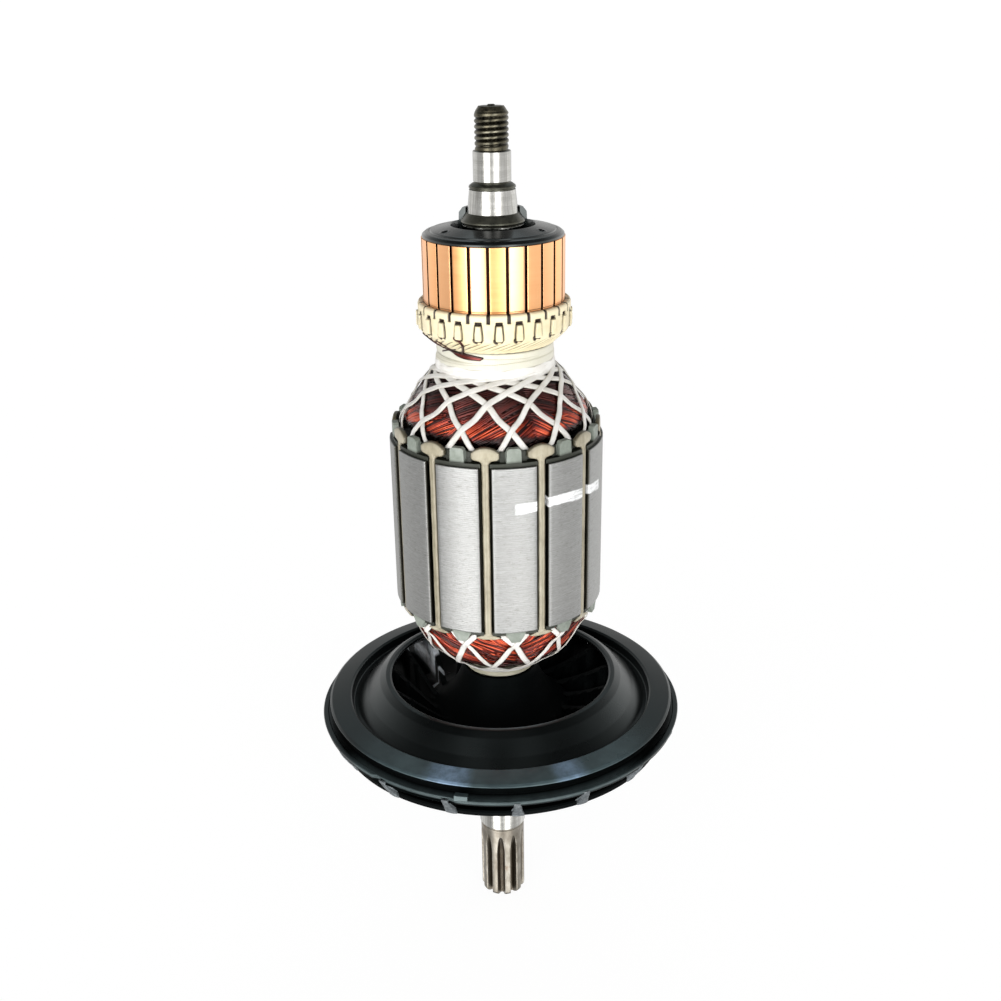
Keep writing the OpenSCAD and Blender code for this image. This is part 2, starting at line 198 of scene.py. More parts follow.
# ------------------------------------------------------------------ mesh helpers
class Acc:
    """Gathers parts of one piece."""

    def __init__(self):
        self.v, self.q, self.t, self.n = [], [], [], 0
        self.a = {}

    def add(self, v, q=None, t=None, **attrs):
        v = np.asarray(v, float).reshape(-1, 3)
        if q is not None and len(q):
            self.q.append(np.asarray(q, int).reshape(-1, 4) + self.n)
        if t is not None and len(t):
            self.t.append(np.asarray(t, int).reshape(-1, 3) + self.n)
        for k in set(self.a) | set(attrs):
            rows = self.a.setdefault(k, [np.zeros(self.n)] if self.n else [])
            value = attrs.get(k, 0.0)
            rows.append(np.broadcast_to(np.asarray(value, float).ravel(), (len(v),)).copy()
                        if np.size(value) in (1, len(v)) else np.zeros(len(v)))
        self.v.append(v)
        self.n += len(v)

    def piece(self, name, mat, sharp=35.0, replaces=(), mats=None, flip=False):
        v = np.concatenate(self.v) * MM
        q = np.concatenate(self.q) if self.q else np.zeros((0, 4), int)
        t = np.concatenate(self.t) if self.t else np.zeros((0, 3), int)
        if flip:
            q, t = q[:, ::-1], t[:, ::-1]
        me = bpy.data.meshes.new(name)
        me.vertices.add(len(v))
        me.vertices.foreach_set("co", v.astype(np.float32).ravel())
        loops = np.concatenate([q.ravel(), t.ravel()]).astype(np.int32)
        me.loops.add(len(loops))
        me.loops.foreach_set("vertex_index", loops)
        me.polygons.add(len(q) + len(t))
        me.polygons.foreach_set("loop_start", np.concatenate(
            [np.arange(len(q)) * 4, len(q) * 4 + np.arange(len(t)) * 3]).astype(np.int32))
        for k, rows in self.a.items():
            layer = me.attributes.new(k, "FLOAT", "POINT")
            layer.data.foreach_set("value", np.concatenate(rows).astype(np.float32))
        me.update(calc_edges=True)
        me.validate()
        me.shade_smooth()
        if sharp < 180:
            me.set_sharp_from_angle(angle=math.radians(sharp))
        for m in (mats or [mat]):
            me.materials.append(m.m)
        o = bpy.data.objects.new(name, me)
        COL.objects.link(o)
        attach(o, "root")
        if replaces:
            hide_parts(*replaces)
        return o


def grid(nu, nv, wrap_u=False, wrap_v=False):
    """Quads of a grid of nu by nv points, u outermost."""
    iu = np.arange(nu if wrap_u else nu - 1)
    iv = np.arange(nv if wrap_v else nv - 1)
    a, b = np.meshgrid(iu, iv, indexing="ij")
    a2, b2 = (a + 1) % nu, (b + 1) % nv
    return np.stack([a * nv + b, a2 * nv + b, a2 * nv + b2, a * nv + b2], -1).reshape(-1, 4)


def fillet(pts, rad=0.15, seg=3, minturn=12.0, closed=False):
    """Rounds the corners of a profile. A point may carry its own radius as a third number."""
    n, out = len(pts), []
    for i in range(n):
        p = np.array(pts[i][:2], float)
        r = pts[i][2] if len(pts[i]) > 2 else rad
        if (not closed and i in (0, n - 1)) or r <= 0:
            out.append(p)
            continue
        u, w = np.array(pts[i - 1][:2], float) - p, np.array(pts[(i + 1) % n][:2], float) - p
        lu, lw = np.linalg.norm(u), np.linalg.norm(w)
        if lu < 1e-9 or lw < 1e-9:
            continue
        u, w = u / lu, w / lw
        turn = math.acos(max(-1, min(1, -u @ w)))
        if math.degrees(turn) < minturn:
            out.append(p)
            continue
        d = min(r * math.tan(turn / 2), 0.48 * lu, 0.48 * lw)
        for t in np.linspace(0, 1, seg + 1):
            out.append((1 - t) ** 2 * (p + u * d) + 2 * t * (1 - t) * p + t * t * (p + w * d))
    return np.array(out)


def ring(phi, r, z):
    """Point from degrees round the axis from the front, radius and height in mm."""
    a = np.radians(phi)
    return np.stack([r * np.sin(a), -r * np.cos(a), z * np.ones_like(a)], -1)


def lathe(acc, prof, seg=192, closed=False, **attrs):
    prof = np.asarray(prof, float)
    phi = np.arange(seg) * 360.0 / seg
    P = ring(phi[:, None], prof[None, :, 0], prof[None, :, 1])
    q = grid(seg, len(prof), True, closed)
    # degenerate rows at the axis are harmless: the radius never reaches zero exactly
    full = {k: (np.tile(v, (seg, 1)) if np.ndim(v) else v) for k, v in attrs.items()}
    acc.add(P, q, **full)


def lookup(x, table):
    t = np.array(table, float)
    return np.interp(x, t[:, 0], t[:, 1])


def smooth_interp(x, table):
    """Monotone cubic through a table, so that paths have no kinks."""
    t = np.array(table, float)
    xs, ys = t[:, 0], t[:, 1]
    h = np.diff(xs)
    d = np.diff(ys) / h
    m = np.zeros_like(ys)
    m[0], m[-1] = d[0], d[-1]
    for i in range(1, len(xs) - 1):
        m[i] = 0 if d[i - 1] * d[i] <= 0 else 2 * d[i - 1] * d[i] / (d[i - 1] + d[i])
    x = np.clip(x, xs[0], xs[-1])
    k = np.clip(np.searchsorted(xs, x) - 1, 0, len(h) - 1)
    s = (x - xs[k]) / h[k]
    return ((2 * s**3 - 3 * s**2 + 1) * ys[k] + (s**3 - 2 * s**2 + s) * h[k] * m[k]
            + (-2 * s**3 + 3 * s**2) * ys[k + 1] + (s**3 - s**2) * h[k] * m[k + 1])


def sweep(acc, path, normal, section, caps=True, **attrs):
    """A closed section (k, 2), given across and along the normal, carried along a path."""
    path, normal = np.asarray(path, float), np.asarray(normal, float)
    tan = np.gradient(path, axis=0)
    tan /= np.linalg.norm(tan, axis=1, keepdims=True) + 1e-12
    side = np.cross(normal, tan)
    side /= np.linalg.norm(side, axis=1, keepdims=True) + 1e-12
    nor = np.cross(tan, side)
    sec = np.asarray(section, float)
    if sec.ndim == 2:
        sec = np.broadcast_to(sec, (len(path), *sec.shape))
    P = path[:, None, :] + side[:, None, :] * sec[:, :, 0:1] + nor[:, None, :] * sec[:, :, 1:2]
    n, k = P.shape[:2]
    q = grid(n, k, False, True)
    tris = []
    if caps:
        for j in range(1, k - 1):
            tris.append([0, j + 1, j])
            b = (n - 1) * k
            tris.append([b, b + j, b + j + 1])
    along = np.concatenate([[0], np.cumsum(np.linalg.norm(np.diff(path, axis=0), axis=1))])
    full = dict(attrs)
    full["along"] = np.repeat(along, k)
    full["across"] = np.tile(np.arange(k) / k, n) if sec.ndim == 3 else 0.0
    full["across"] = (sec[:, :, 0] / (np.abs(sec[:, :, 0]).max() + 1e-9)).ravel()
    acc.add(P, q, tris, **full)


def round_section(r, k=7):
    a = np.arange(k) * TAU / k
    return np.stack([r * np.cos(a), r * np.sin(a)], -1)


def tape_section(w, t, k=5):
    """A flat tape with a gently crowned top and soft edges."""
    u = np.linspace(-1, 1, 2 * k - 1)
    top = np.stack([u * w / 2, t * (0.35 + 0.65 * np.sqrt(np.clip(1 - u**4, 0, 1)))], -1)
    return np.concatenate([top, [[w / 2 * 0.8, -0.02], [-w / 2 * 0.8, -0.02]]])[::-1]


def cad_piece(name, node, mat, bevel=0.12, seg=2, sharp=30.0, merge=0.004):
    """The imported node's shape with its faces joined and its corners eased."""
    me = NODES[node].data.copy()
    me.name = name
    bm = bmesh.new()
    bm.from_mesh(me)
    bmesh.ops.remove_doubles(bm, verts=bm.verts, dist=merge * MM)
    bmesh.ops.dissolve_limit(bm, angle_limit=math.radians(0.5), verts=bm.verts, edges=bm.edges)
    bm.to_mesh(me)
    bm.free()
    me.materials.clear()
    me.materials.append(mat.m)
    me.shade_smooth()
    me.set_sharp_from_angle(angle=math.radians(sharp))
    o = bpy.data.objects.new(name, me)
    COL.objects.link(o)
    if bevel:
        mod = o.modifiers.new("ease", "BEVEL")
        mod.width = bevel * MM
        mod.segments = seg
        mod.limit_method = "ANGLE"
        mod.angle_limit = math.radians(38)
        mod.use_clamp_overlap = True
        mod.harden_normals = False
    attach(o, "root")
    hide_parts(node)
    return o


# ------------------------------------------------------------------ materials
def steel_ground():
    m = Mat("ground_seat", (0.42, 0.415, 0.40), metallic=1.0, rough=0.2)
    fine = m.noise(m.scaled(250, 250, 9000), 1.0, 2.0, 0.6)
    streak = m.noise(m.scaled(1500, 1500, 45), 1.0, 3.0, 0.6)
    wide = m.noise(m.scaled(60, 60, 900), 1.0, 3.0, 0.6)
    blot = m.noise(m.scaled(260, 260, 260), 1.0, 4.0, 0.6)
    tone = m.ramp(m.math("ADD", m.math("MULTIPLY", fine, 0.5), m.math("MULTIPLY", wide, 0.5)),
                  [(0.3, (0.32, 0.318, 0.302)), (0.6, (0.46, 0.457, 0.44))])
    tone = m.mix(m.ramp(streak, [(0.42, 0.0), (0.66, 0.62)]), tone, (0.24, 0.235, 0.215))
    m.link(m.mix(m.ramp(blot, [(0.6, 0.0), (0.8, 0.35)]), tone, (0.28, 0.27, 0.24)), "Base Color")
    m.link(m.ramp(wide, [(0.3, 0.12), (0.7, 0.24)]), "Roughness")
    m.link(m.bump(m.math("ADD", fine, m.math("MULTIPLY", streak, 1.6)), 0.3, 0.00004), "Normal")
    return m


def steel_dark():
    m = Mat("oxide_steel", (0.055, 0.056, 0.048), metallic=0.75, rough=0.30)
    a = m.noise(m.scaled(700, 700, 700), 1.0, 4.0, 0.6)
    b = m.noise(m.scaled(160, 160, 160), 1.0, 3.0, 0.6)
    m.link(m.mix(m.ramp(a, [(0.35, 0.0), (0.75, 1.0)]), m.ramp(b, [(0.3, (0.035, 0.036, 0.028)), (0.7, (0.085, 0.086, 0.070))]),
                 (0.12, 0.118, 0.09)), "Base Color")
    m.link(m.ramp(a, [(0.3, 0.26), (0.7, 0.46)]), "Roughness")
    m.link(m.bump(a, 0.35, 0.00006), "Normal")
    return m


def steel_thread():
    m = Mat("thread_oxide", (0.11, 0.10, 0.075), metallic=0.85, rough=0.33)
    a = m.noise(m.scaled(900, 900, 900), 1.0, 4.0, 0.65)
    b = m.noise(m.scaled(240, 240, 500), 1.0, 3.0, 0.6)
    crest = m.attr("crest")
    base = m.mix(m.ramp(a, [(0.4, 0.0), (0.8, 1.0)]), m.ramp(b, [(0.3, (0.030, 0.029, 0.020)), (0.7, (0.085, 0.080, 0.058))]),
                 (0.15, 0.13, 0.085))
    # painted highlight: paler patches along the thread crests
    worn = m.math("MULTIPLY", crest, m.ramp(b, [(0.42, 0.0), (0.62, 1.0)]))
    # painted shade: the thread valleys darkened towards black
    base = m.mix(m.math("MULTIPLY", m.attr("deep"), 0.85), base, (0.014, 0.013, 0.009))
    m.link(m.mix(worn, base, (0.165, 0.155, 0.115)), "Base Color")
    m.link(m.ramp(a, [(0.3, 0.22), (0.7, 0.42)]), "Roughness")
    m.link(m.bump(a, 0.4, 0.00006), "Normal")
    return m


def steel_pinion():
    m = Mat("cut_steel", (0.50, 0.46, 0.40), metallic=1.0, rough=0.24)
    drag = m.noise(m.scaled(1500, 1500, 120), 1.0, 3.0, 0.6)
    blot = m.noise(m.scaled(420, 420, 230), 1.0, 4.0, 0.62, 0.4)
    tone = m.ramp(blot, [(0.3, (0.15, 0.130, 0.105)), (0.52, (0.215, 0.198, 0.168)), (0.75, (0.29, 0.272, 0.24))])
    rust = m.ramp(m.noise(m.scaled(300, 300, 160), 1.0, 5.0, 0.7), [(0.60, 0.0), (0.72, 0.7)])
    # painted shade: darker deep in the tooth gaps and in the centre hole
    m.link(m.mix(m.math("MULTIPLY", m.attr("gap"), 0.85), m.mix(rust, tone, (0.20, 0.125, 0.08)), (0.085, 0.070, 0.052)), "Base Color")
    m.link(m.ramp(blot, [(0.3, 0.46), (0.7, 0.32)]), "Roughness")
    m.link(m.bump(m.math("ADD", m.math("MULTIPLY", drag, 0.6), m.math("MULTIPLY", blot, 0.5)), 0.3, 0.00005), "Normal")
    return m


def core_steel():
    m = Mat("core_laminations", (0.60, 0.605, 0.61), metallic=1.0, rough=0.33)
    z = m.xyz()[2]
    lam = m.math("FLOOR", m.math("DIVIDE", z, 0.0005))
    white = m.t.nodes.new("ShaderNodeTexWhiteNoise")
    white.noise_dimensions = "1D"
    m.plug(white.inputs["W"], lam)
    per = white.outputs["Value"]
    edge = m.math("ABSOLUTE", m.math("SUBTRACT", m.math("FRACT", m.math("DIVIDE", z, 0.0005)), 0.5))
    seam = m.ramp(edge, [(0.40, 0.0), (0.5, 1.0)])
    drag = m.noise(m.scaled(620, 620, 4200), 1.0, 4.0, 0.75)
    drag2 = m.noise(m.scaled(160, 160, 2400), 1.0, 3.0, 0.65)
    speck = m.noise(m.scaled(800, 800, 1900), 1.0, 3.0, 0.7)
    wash = m.noise(m.scaled(38, 38, 30), 1.0, 3.0, 0.6)
    tone = m.ramp(m.math("ADD", m.math("MULTIPLY", drag, 0.55), m.math("MULTIPLY", drag2, 0.45)),
                  [(0.30, (0.215, 0.217, 0.212)), (0.5, (0.305, 0.308, 0.303)), (0.7, (0.395, 0.399, 0.397))])
    tone = m.mix(m.math("MULTIPLY", per, 0.25), tone, (0.29, 0.29, 0.285))
    tone = m.mix(m.math("MULTIPLY", seam, 0.35), tone, (0.16, 0.157, 0.145))
    tone = m.mix(m.ramp(speck, [(0.56, 0.0), (0.74, 0.7)]), tone, (0.19, 0.186, 0.172))
    tone = m.mix(m.ramp(wash, [(0.5, 0.0), (0.75, 0.22)]), tone, (0.31, 0.308, 0.295))
    # a stroke of white marking paint across three teeth
    az, zz = m.az(), m.z_mm()
    wob = m.math("MULTIPLY", m.math("SUBTRACT", m.noise(m.scaled(170, 170, 420), 1.0, 3.0, 0.6), 0.5), 1.5)
    centre = m.math("ADD", 131.75, m.math("MULTIPLY", m.math("SUBTRACT", m.math("ABSOLUTE", m.math("SUBTRACT", az, 36.0)), 12.0), -0.042))
    dz = m.math("ADD", m.math("SUBTRACT", zz, centre), wob)
    paint = m.math("MULTIPLY", m.band(dz, -1.45, -1.0, 1.0, 1.45),
                   m.band(m.math("ADD", az, m.math("MULTIPLY", wob, 1.3)), 8.2, 10.0, 69.0, 71.0))
    thin = m.ramp(m.noise(m.scaled(300, 300, 1900), 1.0, 3.0, 0.7), [(0.28, 0.25), (0.5, 0.95)])
    paint = m.math("MULTIPLY", paint, thin)
    # painted shade along the slot lips and on the stack's end faces
    tone = m.mix(m.attr("edge"), tone, (0.035, 0.034, 0.026))
    m.link(m.mix(paint, tone, (0.80, 0.81, 0.82)), "Base Color")
    m.link(m.math("SUBTRACT", 1.0, m.math("MULTIPLY", paint, 0.9)), "Metallic")
    m.link(m.math("ADD", m.ramp(drag2, [(0.3, 0.42), (0.7, 0.55)]), m.math("MULTIPLY", paint, 0.2)), "Roughness")
    h = m.math("ADD", m.math("MULTIPLY", drag, 0.7), m.math("ADD", m.math("MULTIPLY", per, 0.25), m.math("MULTIPLY", seam, -0.5)))
    h = m.math("ADD", h, m.math("ADD", m.math("MULTIPLY", paint, 0.8), m.math("MULTIPLY", speck, 0.8)))
    m.link(m.bump(h, 0.55, 0.00007), "Normal")
    return m


def copper_bar():
    m = Mat("turned_copper", (0.95, 0.47, 0.18), metallic=1.0, rough=0.33)
    lines = m.noise(m.scaled(40, 40, 9500), 1.0, 3.0, 0.65)
    broad = m.noise(m.scaled(45, 45, 700), 1.0, 3.0, 0.6)
    patch = m.noise(m.scaled(150, 150, 60), 1.0, 3.0, 0.6)
    own = m.attr("tone")
    tone = m.ramp(m.math("ADD", m.math("MULTIPLY", lines, 0.5), m.math("MULTIPLY", broad, 0.5)),
                  [(0.3, (0.93, 0.44, 0.165)), (0.5, (0.955, 0.475, 0.19)), (0.7, (0.97, 0.51, 0.22))])
    tone = m.mix(m.math("MULTIPLY", own, 0.6), tone, (0.97, 0.56, 0.34))
    tone = m.mix(m.ramp(patch, [(0.55, 0.0), (0.8, 0.25)]), tone, (0.88, 0.40, 0.20))
    # painted shade: a dark band and line below the brush track, and the side walls of the slots between bars
    dark = m.attr("dark")
    m.link(m.mix(dark, tone, (0.055, 0.016, 0.007)), "Base Color")
    m.link(m.ramp(broad, [(0.3, 0.29), (0.7, 0.37)]), "Roughness")
    m.link(m.bump(lines, 0.10, 0.00003), "Normal")
    return m


def mica():
    m = Mat("mica_dark", (0.02, 0.006, 0.004), rough=0.8, spec=0.1)
    a = m.noise(m.scaled(900, 900, 300), 1.0, 3.0)
    m.link(m.ramp(a, [(0.3, (0.010, 0.003, 0.002)), (0.7, (0.035, 0.011, 0.007))]), "Base Color")
    return m


def moulding():
    m = Mat("black_moulding", (0.006, 0.008, 0.009), rough=0.2, spec=0.42, coat=0.35, coat_rough=0.06)
    m.set("Specular Tint", (0.88, 1.0, 0.98, 1.0))
    a = m.noise(m.scaled(600, 600, 600), 1.0, 4.0, 0.65)
    b = m.noise(m.scaled(150, 150, 150), 1.0, 3.0, 0.6)
    m.link(m.mix(m.ramp(b, [(0.45, 0.0), (0.72, 1.0)]), (0.005, 0.006, 0.007), (0.013, 0.017, 0.019)), "Base Color")
    m.link(m.ramp(b, [(0.3, 0.15), (0.7, 0.27)]), "Roughness")
    m.link(m.bump(m.math("ADD", a, m.math("MULTIPLY", b, 1.5)), 0.22, 0.00006), "Normal")
    return m


def fan_plastic():
    m = Mat("fan_plastic", (0.002, 0.003, 0.0035), rough=0.30, spec=0.36)
    m.set("Specular Tint", (0.84, 1.0, 1.02, 1.0))
    grain = m.noise(m.scaled(1400, 1400, 1400), 1.0, 3.0, 0.6)
    cloud = m.noise(m.scaled(55, 55, 55), 1.0, 4.0, 0.6)
    dust_and_sheen = m.noise(m.scaled(420, 420, 420), 1.0, 5.0, 0.75)
    base = m.ramp(cloud, [(0.3, (0.0008, 0.0012, 0.0013)), (0.7, (0.0018, 0.0025, 0.0026))])
    base = m.mix(m.ramp(dust_and_sheen, [(0.68, 0.0), (0.82, 0.3)]), base, (0.010, 0.012, 0.012))
    # painted sheen: the ridge's top is painted pale bluish along the front, with two stronger painted highlights
    az = m.az()
    top = m.attr("ridge")
    near = m.band(az, -62.0, -26.0, 30.0, 66.0)
    sheen_mottle = m.ramp(m.noise(m.scaled(120, 120, 400), 1.0, 3.0, 0.6), [(0.3, 0.55), (0.7, 1.0)])
    base = m.mix(m.math("MULTIPLY", m.math("MULTIPLY", top, near), sheen_mottle), base, (0.084, 0.124, 0.136))
    spots = m.math("ADD", m.band(az, -27.0, -19.0, -14.0, -8.0), m.math("MULTIPLY", m.band(az, 15.0, 20.0, 22.5, 29.0), 0.85))
    base = m.mix(m.math("MULTIPLY", m.math("MULTIPLY", top, spots), m.ramp(dust_and_sheen, [(0.35, 0.35), (0.6, 0.85)])), base, (0.25, 0.37, 0.53))
    # painted highlight: a pale line along the flange top and its step, across the front only
    worn = m.attr("worn")
    highlight_breakup = m.ramp(m.noise(m.scaled(260, 260, 520), 1.0, 4.0, 0.7), [(0.38, 0.7), (0.62, 1.0)])
    front = m.band(az, -58.0, -46.0, 36.0, 52.0)
    base = m.mix(m.math("MULTIPLY", m.math("MULTIPLY", worn, front), highlight_breakup), base, (0.080, 0.108, 0.113))
    # painted highlight along the front of the lip's edge
    lip = m.math("MULTIPLY", m.attr("lip"), m.band(az, -40.0, -8.0, 12.0, 44.0))
    base = m.mix(m.math("MULTIPLY", lip, sheen_mottle), base, (0.16, 0.19, 0.20))
    m.link(base, "Base Color")
    scr = m.voronoi(m.scaled(110, 40, 160), 1.0, "DISTANCE_TO_EDGE")
    shade = m.attr("shade")
    m.link(m.math("MULTIPLY", 0.42, m.math("SUBTRACT", 1.0, m.math("MULTIPLY", shade, 0.9))), "Specular IOR Level")
    m.link(m.math("ADD", m.ramp(cloud, [(0.3, 0.25), (0.7, 0.36)]), m.math("MULTIPLY", shade, 0.3)), "Roughness")
    h = m.math("ADD", m.math("MULTIPLY", grain, 0.5), m.math("MULTIPLY", m.ramp(scr, [(0.0, 0.0), (0.012, 1.0)]), 0.12))
    m.link(m.bump(h, 0.10, 0.00004), "Normal")
    return m


def blade_plastic():
    m = Mat("fan_blades", (0.002, 0.003, 0.003), rough=0.6, spec=0.03)
    m.set("Specular Tint", (0.84, 1.0, 1.02, 1.0))
    x, y, z = m.xyz()
    zz = m.z_mm()
    r = m.math("MULTIPLY", m.math("SQRT", m.math("ADD", m.math("MULTIPLY", x, x), m.math("MULTIPLY", y, y))), 1000.0)
    a = m.noise(m.scaled(700, 700, 700), 1.0, 4.0, 0.7)
    b = m.noise(m.scaled(60, 60, 60), 1.0, 3.0, 0.6)
    slant = m.math("ADD", 44.6, m.math("MULTIPLY", m.math("SUBTRACT", zz, 58.8), 0.845))
    tip = m.math("MULTIPLY", m.math("GREATER_THAN", r, slant), m.band(zz, 58.82, 58.9, 80.0, 81.0))
    rough_tip = m.ramp(a, [(0.3, (0.09, 0.10, 0.11)), (0.55, (0.16, 0.18, 0.19)), (0.8, (0.32, 0.34, 0.35))])
    # one blade and the floor beside it are painted pale, as a painted glossy reflection
    az = m.az()
    painted_glint = m.math("MULTIPLY", m.band(az, -144.0, -143.4, -129.6, -128.8), m.band(r, 24.2, 25.2, 41.5, 42.2))
    painted_glint = m.math("MULTIPLY", painted_glint, m.band(zz, 59.6, 63.0, 69.2, 69.8))
    curl = m.math("MULTIPLY", m.band(az, -128.0, -127.0, -124.6, -124.0), m.math("MULTIPLY", m.band(r, 19.2, 19.8, 21.6, 22.2), m.band(zz, 62.4, 63.0, 67.0, 68.5)))
    curl2 = m.math("MULTIPLY", m.band(az, -126.5, -124.5, -116.0, -112.0), m.math("MULTIPLY", m.band(r, 20.8, 21.3, 22.3, 22.9), m.band(zz, 60.0, 60.4, 62.6, 63.0)))
    painted_glint = m.math("MULTIPLY", m.math("MAXIMUM", painted_glint, m.math("MAXIMUM", curl, curl2)), m.ramp(m.noise(m.scaled(180, 180, 420), 1.0, 3.0, 0.6), [(0.35, 0.35), (0.6, 1.0)]))
    dark = m.ramp(b, [(0.3, (0.0008, 0.0012, 0.0013)), (0.7, (0.0020, 0.0026, 0.0027))])
    m.link(m.mix(tip, m.mix(painted_glint, dark, (0.80, 0.86, 0.92)), rough_tip), "Base Color")
    m.link(m.math("SUBTRACT", m.ramp(b, [(0.3, 0.5), (0.7, 0.6)]), m.math("MULTIPLY", painted_glint, 0.3)), "Roughness")
    m.link(m.bump(a, 0.12, 0.00005), "Normal")
    return m


def resin():
    m = Mat("cream_resin", (0.76, 0.66, 0.41), rough=0.42, spec=0.35)
    a = m.noise(m.scaled(420, 420, 420), 1.0, 4.0, 0.6)
    b = m.noise(m.scaled(140, 140, 140), 1.0, 3.0, 0.6)
    base = m.ramp(m.math("ADD", m.math("MULTIPLY", a, 0.4), m.math("MULTIPLY", b, 0.6)),
                  [(0.3, (0.62, 0.52, 0.31)), (0.5, (0.70, 0.62, 0.41)), (0.7, (0.74, 0.68, 0.50))])
    crev = m.attr("crev")
    base = m.mix(m.attr("copperish"), base, (0.78, 0.67, 0.46))
    # painted shade: near black in the folds, creases, wire loops, under the tongues and along the seams
    base = m.mix(m.ramp(crev, [(0.0, 0.0), (0.25, 0.55), (0.7, 1.0)]), base, (0.020, 0.007, 0.003))
    m.link(base, "Base Color")
    m.link(m.bump(a, 0.3, 0.0001), "Normal")
    return m


def tape(name, cream=0.0):
    m = Mat(name, (0.84, 0.83, 0.78), rough=0.5, sheen=0.15)
    al, ac = m.attr("along"), m.attr("across")
    weave = m.math("ADD", m.math("MULTIPLY", m.math("SINE", m.math("MULTIPLY", al, 12.5)), 0.5),
                   m.math("MULTIPLY", m.math("SINE", m.math("MULTIPLY", ac, 17.0)), 0.5))
    fib = m.noise(m.vec(m.math("MULTIPLY", al, 1.6), m.math("MULTIPLY", ac, 9.0), 0.0), 1.0, 3.0, 0.6)
    b = m.noise(m.scaled(260, 260, 260), 1.0, 4.0, 0.6)
    base = m.ramp(b, [(0.3, (0.60, 0.58, 0.54)), (0.55, (0.70, 0.69, 0.665)), (0.75, (0.75, 0.745, 0.73))])
    # painted shade: the tape darkens towards both edges
    base = m.mix(m.math("MULTIPLY", m.ramp(m.math("ABSOLUTE", ac), [(0.66, 0.0), (1.0, 1.0)]), 0.7), base, (0.34, 0.31, 0.24))
    if cream:
        base = m.mix(cream, base, (0.53, 0.515, 0.405))
    m.link(base, "Base Color")
    m.link(m.ramp(b, [(0.3, 0.42), (0.7, 0.58)]), "Roughness")
    m.link(m.bump(m.math("ADD", m.math("MULTIPLY", weave, 0.35), fib), 0.45, 0.00010), "Normal")
    return m


def enamel(name="enamelled_wire", dark=0.0):
    m = Mat(name, (0.50, 0.05, 0.012), metallic=0.6, rough=0.26, coat=0.3, coat_rough=0.06)
    m.set("Specular IOR Level", 0.3)
    own = m.attr("tone")
    al = m.attr("along")
    b = m.noise(m.scaled(500, 500, 500), 1.0, 3.0, 0.6)
    # tone carries the painted light and shade set in head_wires along with each wire's own tone
    base = m.ramp(own, [(0.0, (0.006, 0.001, 0.001)), (0.25, (0.075, 0.006, 0.003)), (0.55, (0.26, 0.020, 0.007)), (1.0, (0.66, 0.095, 0.03))])
    base = m.mix(m.ramp(b, [(0.45, 0.0), (0.8, 0.5)]), base, (0.08, 0.006, 0.003))
    if dark:
        base = m.mix(dark, base, (0.03, 0.006, 0.004))
    m.link(base, "Base Color")
    m.link(m.bump(m.noise(m.vec(m.math("MULTIPLY", al, 0.8), own, 0.0), 1.0, 2.0), 0.2, 0.0001), "Normal")
    return m


def coil_under():
    # near black: the varnished body under the wires, painted as the shade in the gaps between bundles
    m = Mat("varnished_coil_painted_shade", (0.05, 0.008, 0.005), rough=0.4, coat=0.4, coat_rough=0.15)
    a = m.noise(m.scaled(700, 700, 1500), 1.0, 4.0, 0.6)
    m.link(m.ramp(a, [(0.3, (0.004, 0.001, 0.001)), (0.7, (0.022, 0.003, 0.002))]), "Base Color")
    m.link(m.bump(a, 0.6, 0.0002), "Normal")
    return m


def paper():
    m = Mat("wedge_fibre", (0.55, 0.50, 0.37), rough=0.46, coat=0.25, coat_rough=0.3)
    a = m.noise(m.scaled(900, 900, 380), 1.0, 4.0, 0.65)
    b = m.noise(m.scaled(170, 170, 120), 1.0, 3.0, 0.6)
    base = m.ramp(m.math("ADD", m.math("MULTIPLY", a, 0.45), m.math("MULTIPLY", b, 0.55)),
                  [(0.3, (0.19, 0.165, 0.105)), (0.5, (0.32, 0.285, 0.20)), (0.7, (0.43, 0.395, 0.295))])
    # painted shade on the strip's sides and down its middle, and on the side walls of caps and flares
    base = m.mix(m.attr("edge"), base, (0.06, 0.052, 0.03))
    m.link(base, "Base Color")
    m.link(m.bump(a, 0.35, 0.00012), "Normal")
    return m


def liner():
    m = Mat("liner_paper", (0.08, 0.07, 0.045), rough=0.7, spec=0.2)
    a = m.noise(m.scaled(500, 500, 500), 1.0, 4.0, 0.65)
    m.link(m.ramp(a, [(0.3, (0.018, 0.016, 0.010)), (0.7, (0.075, 0.066, 0.042))]), "Base Color")
    return m


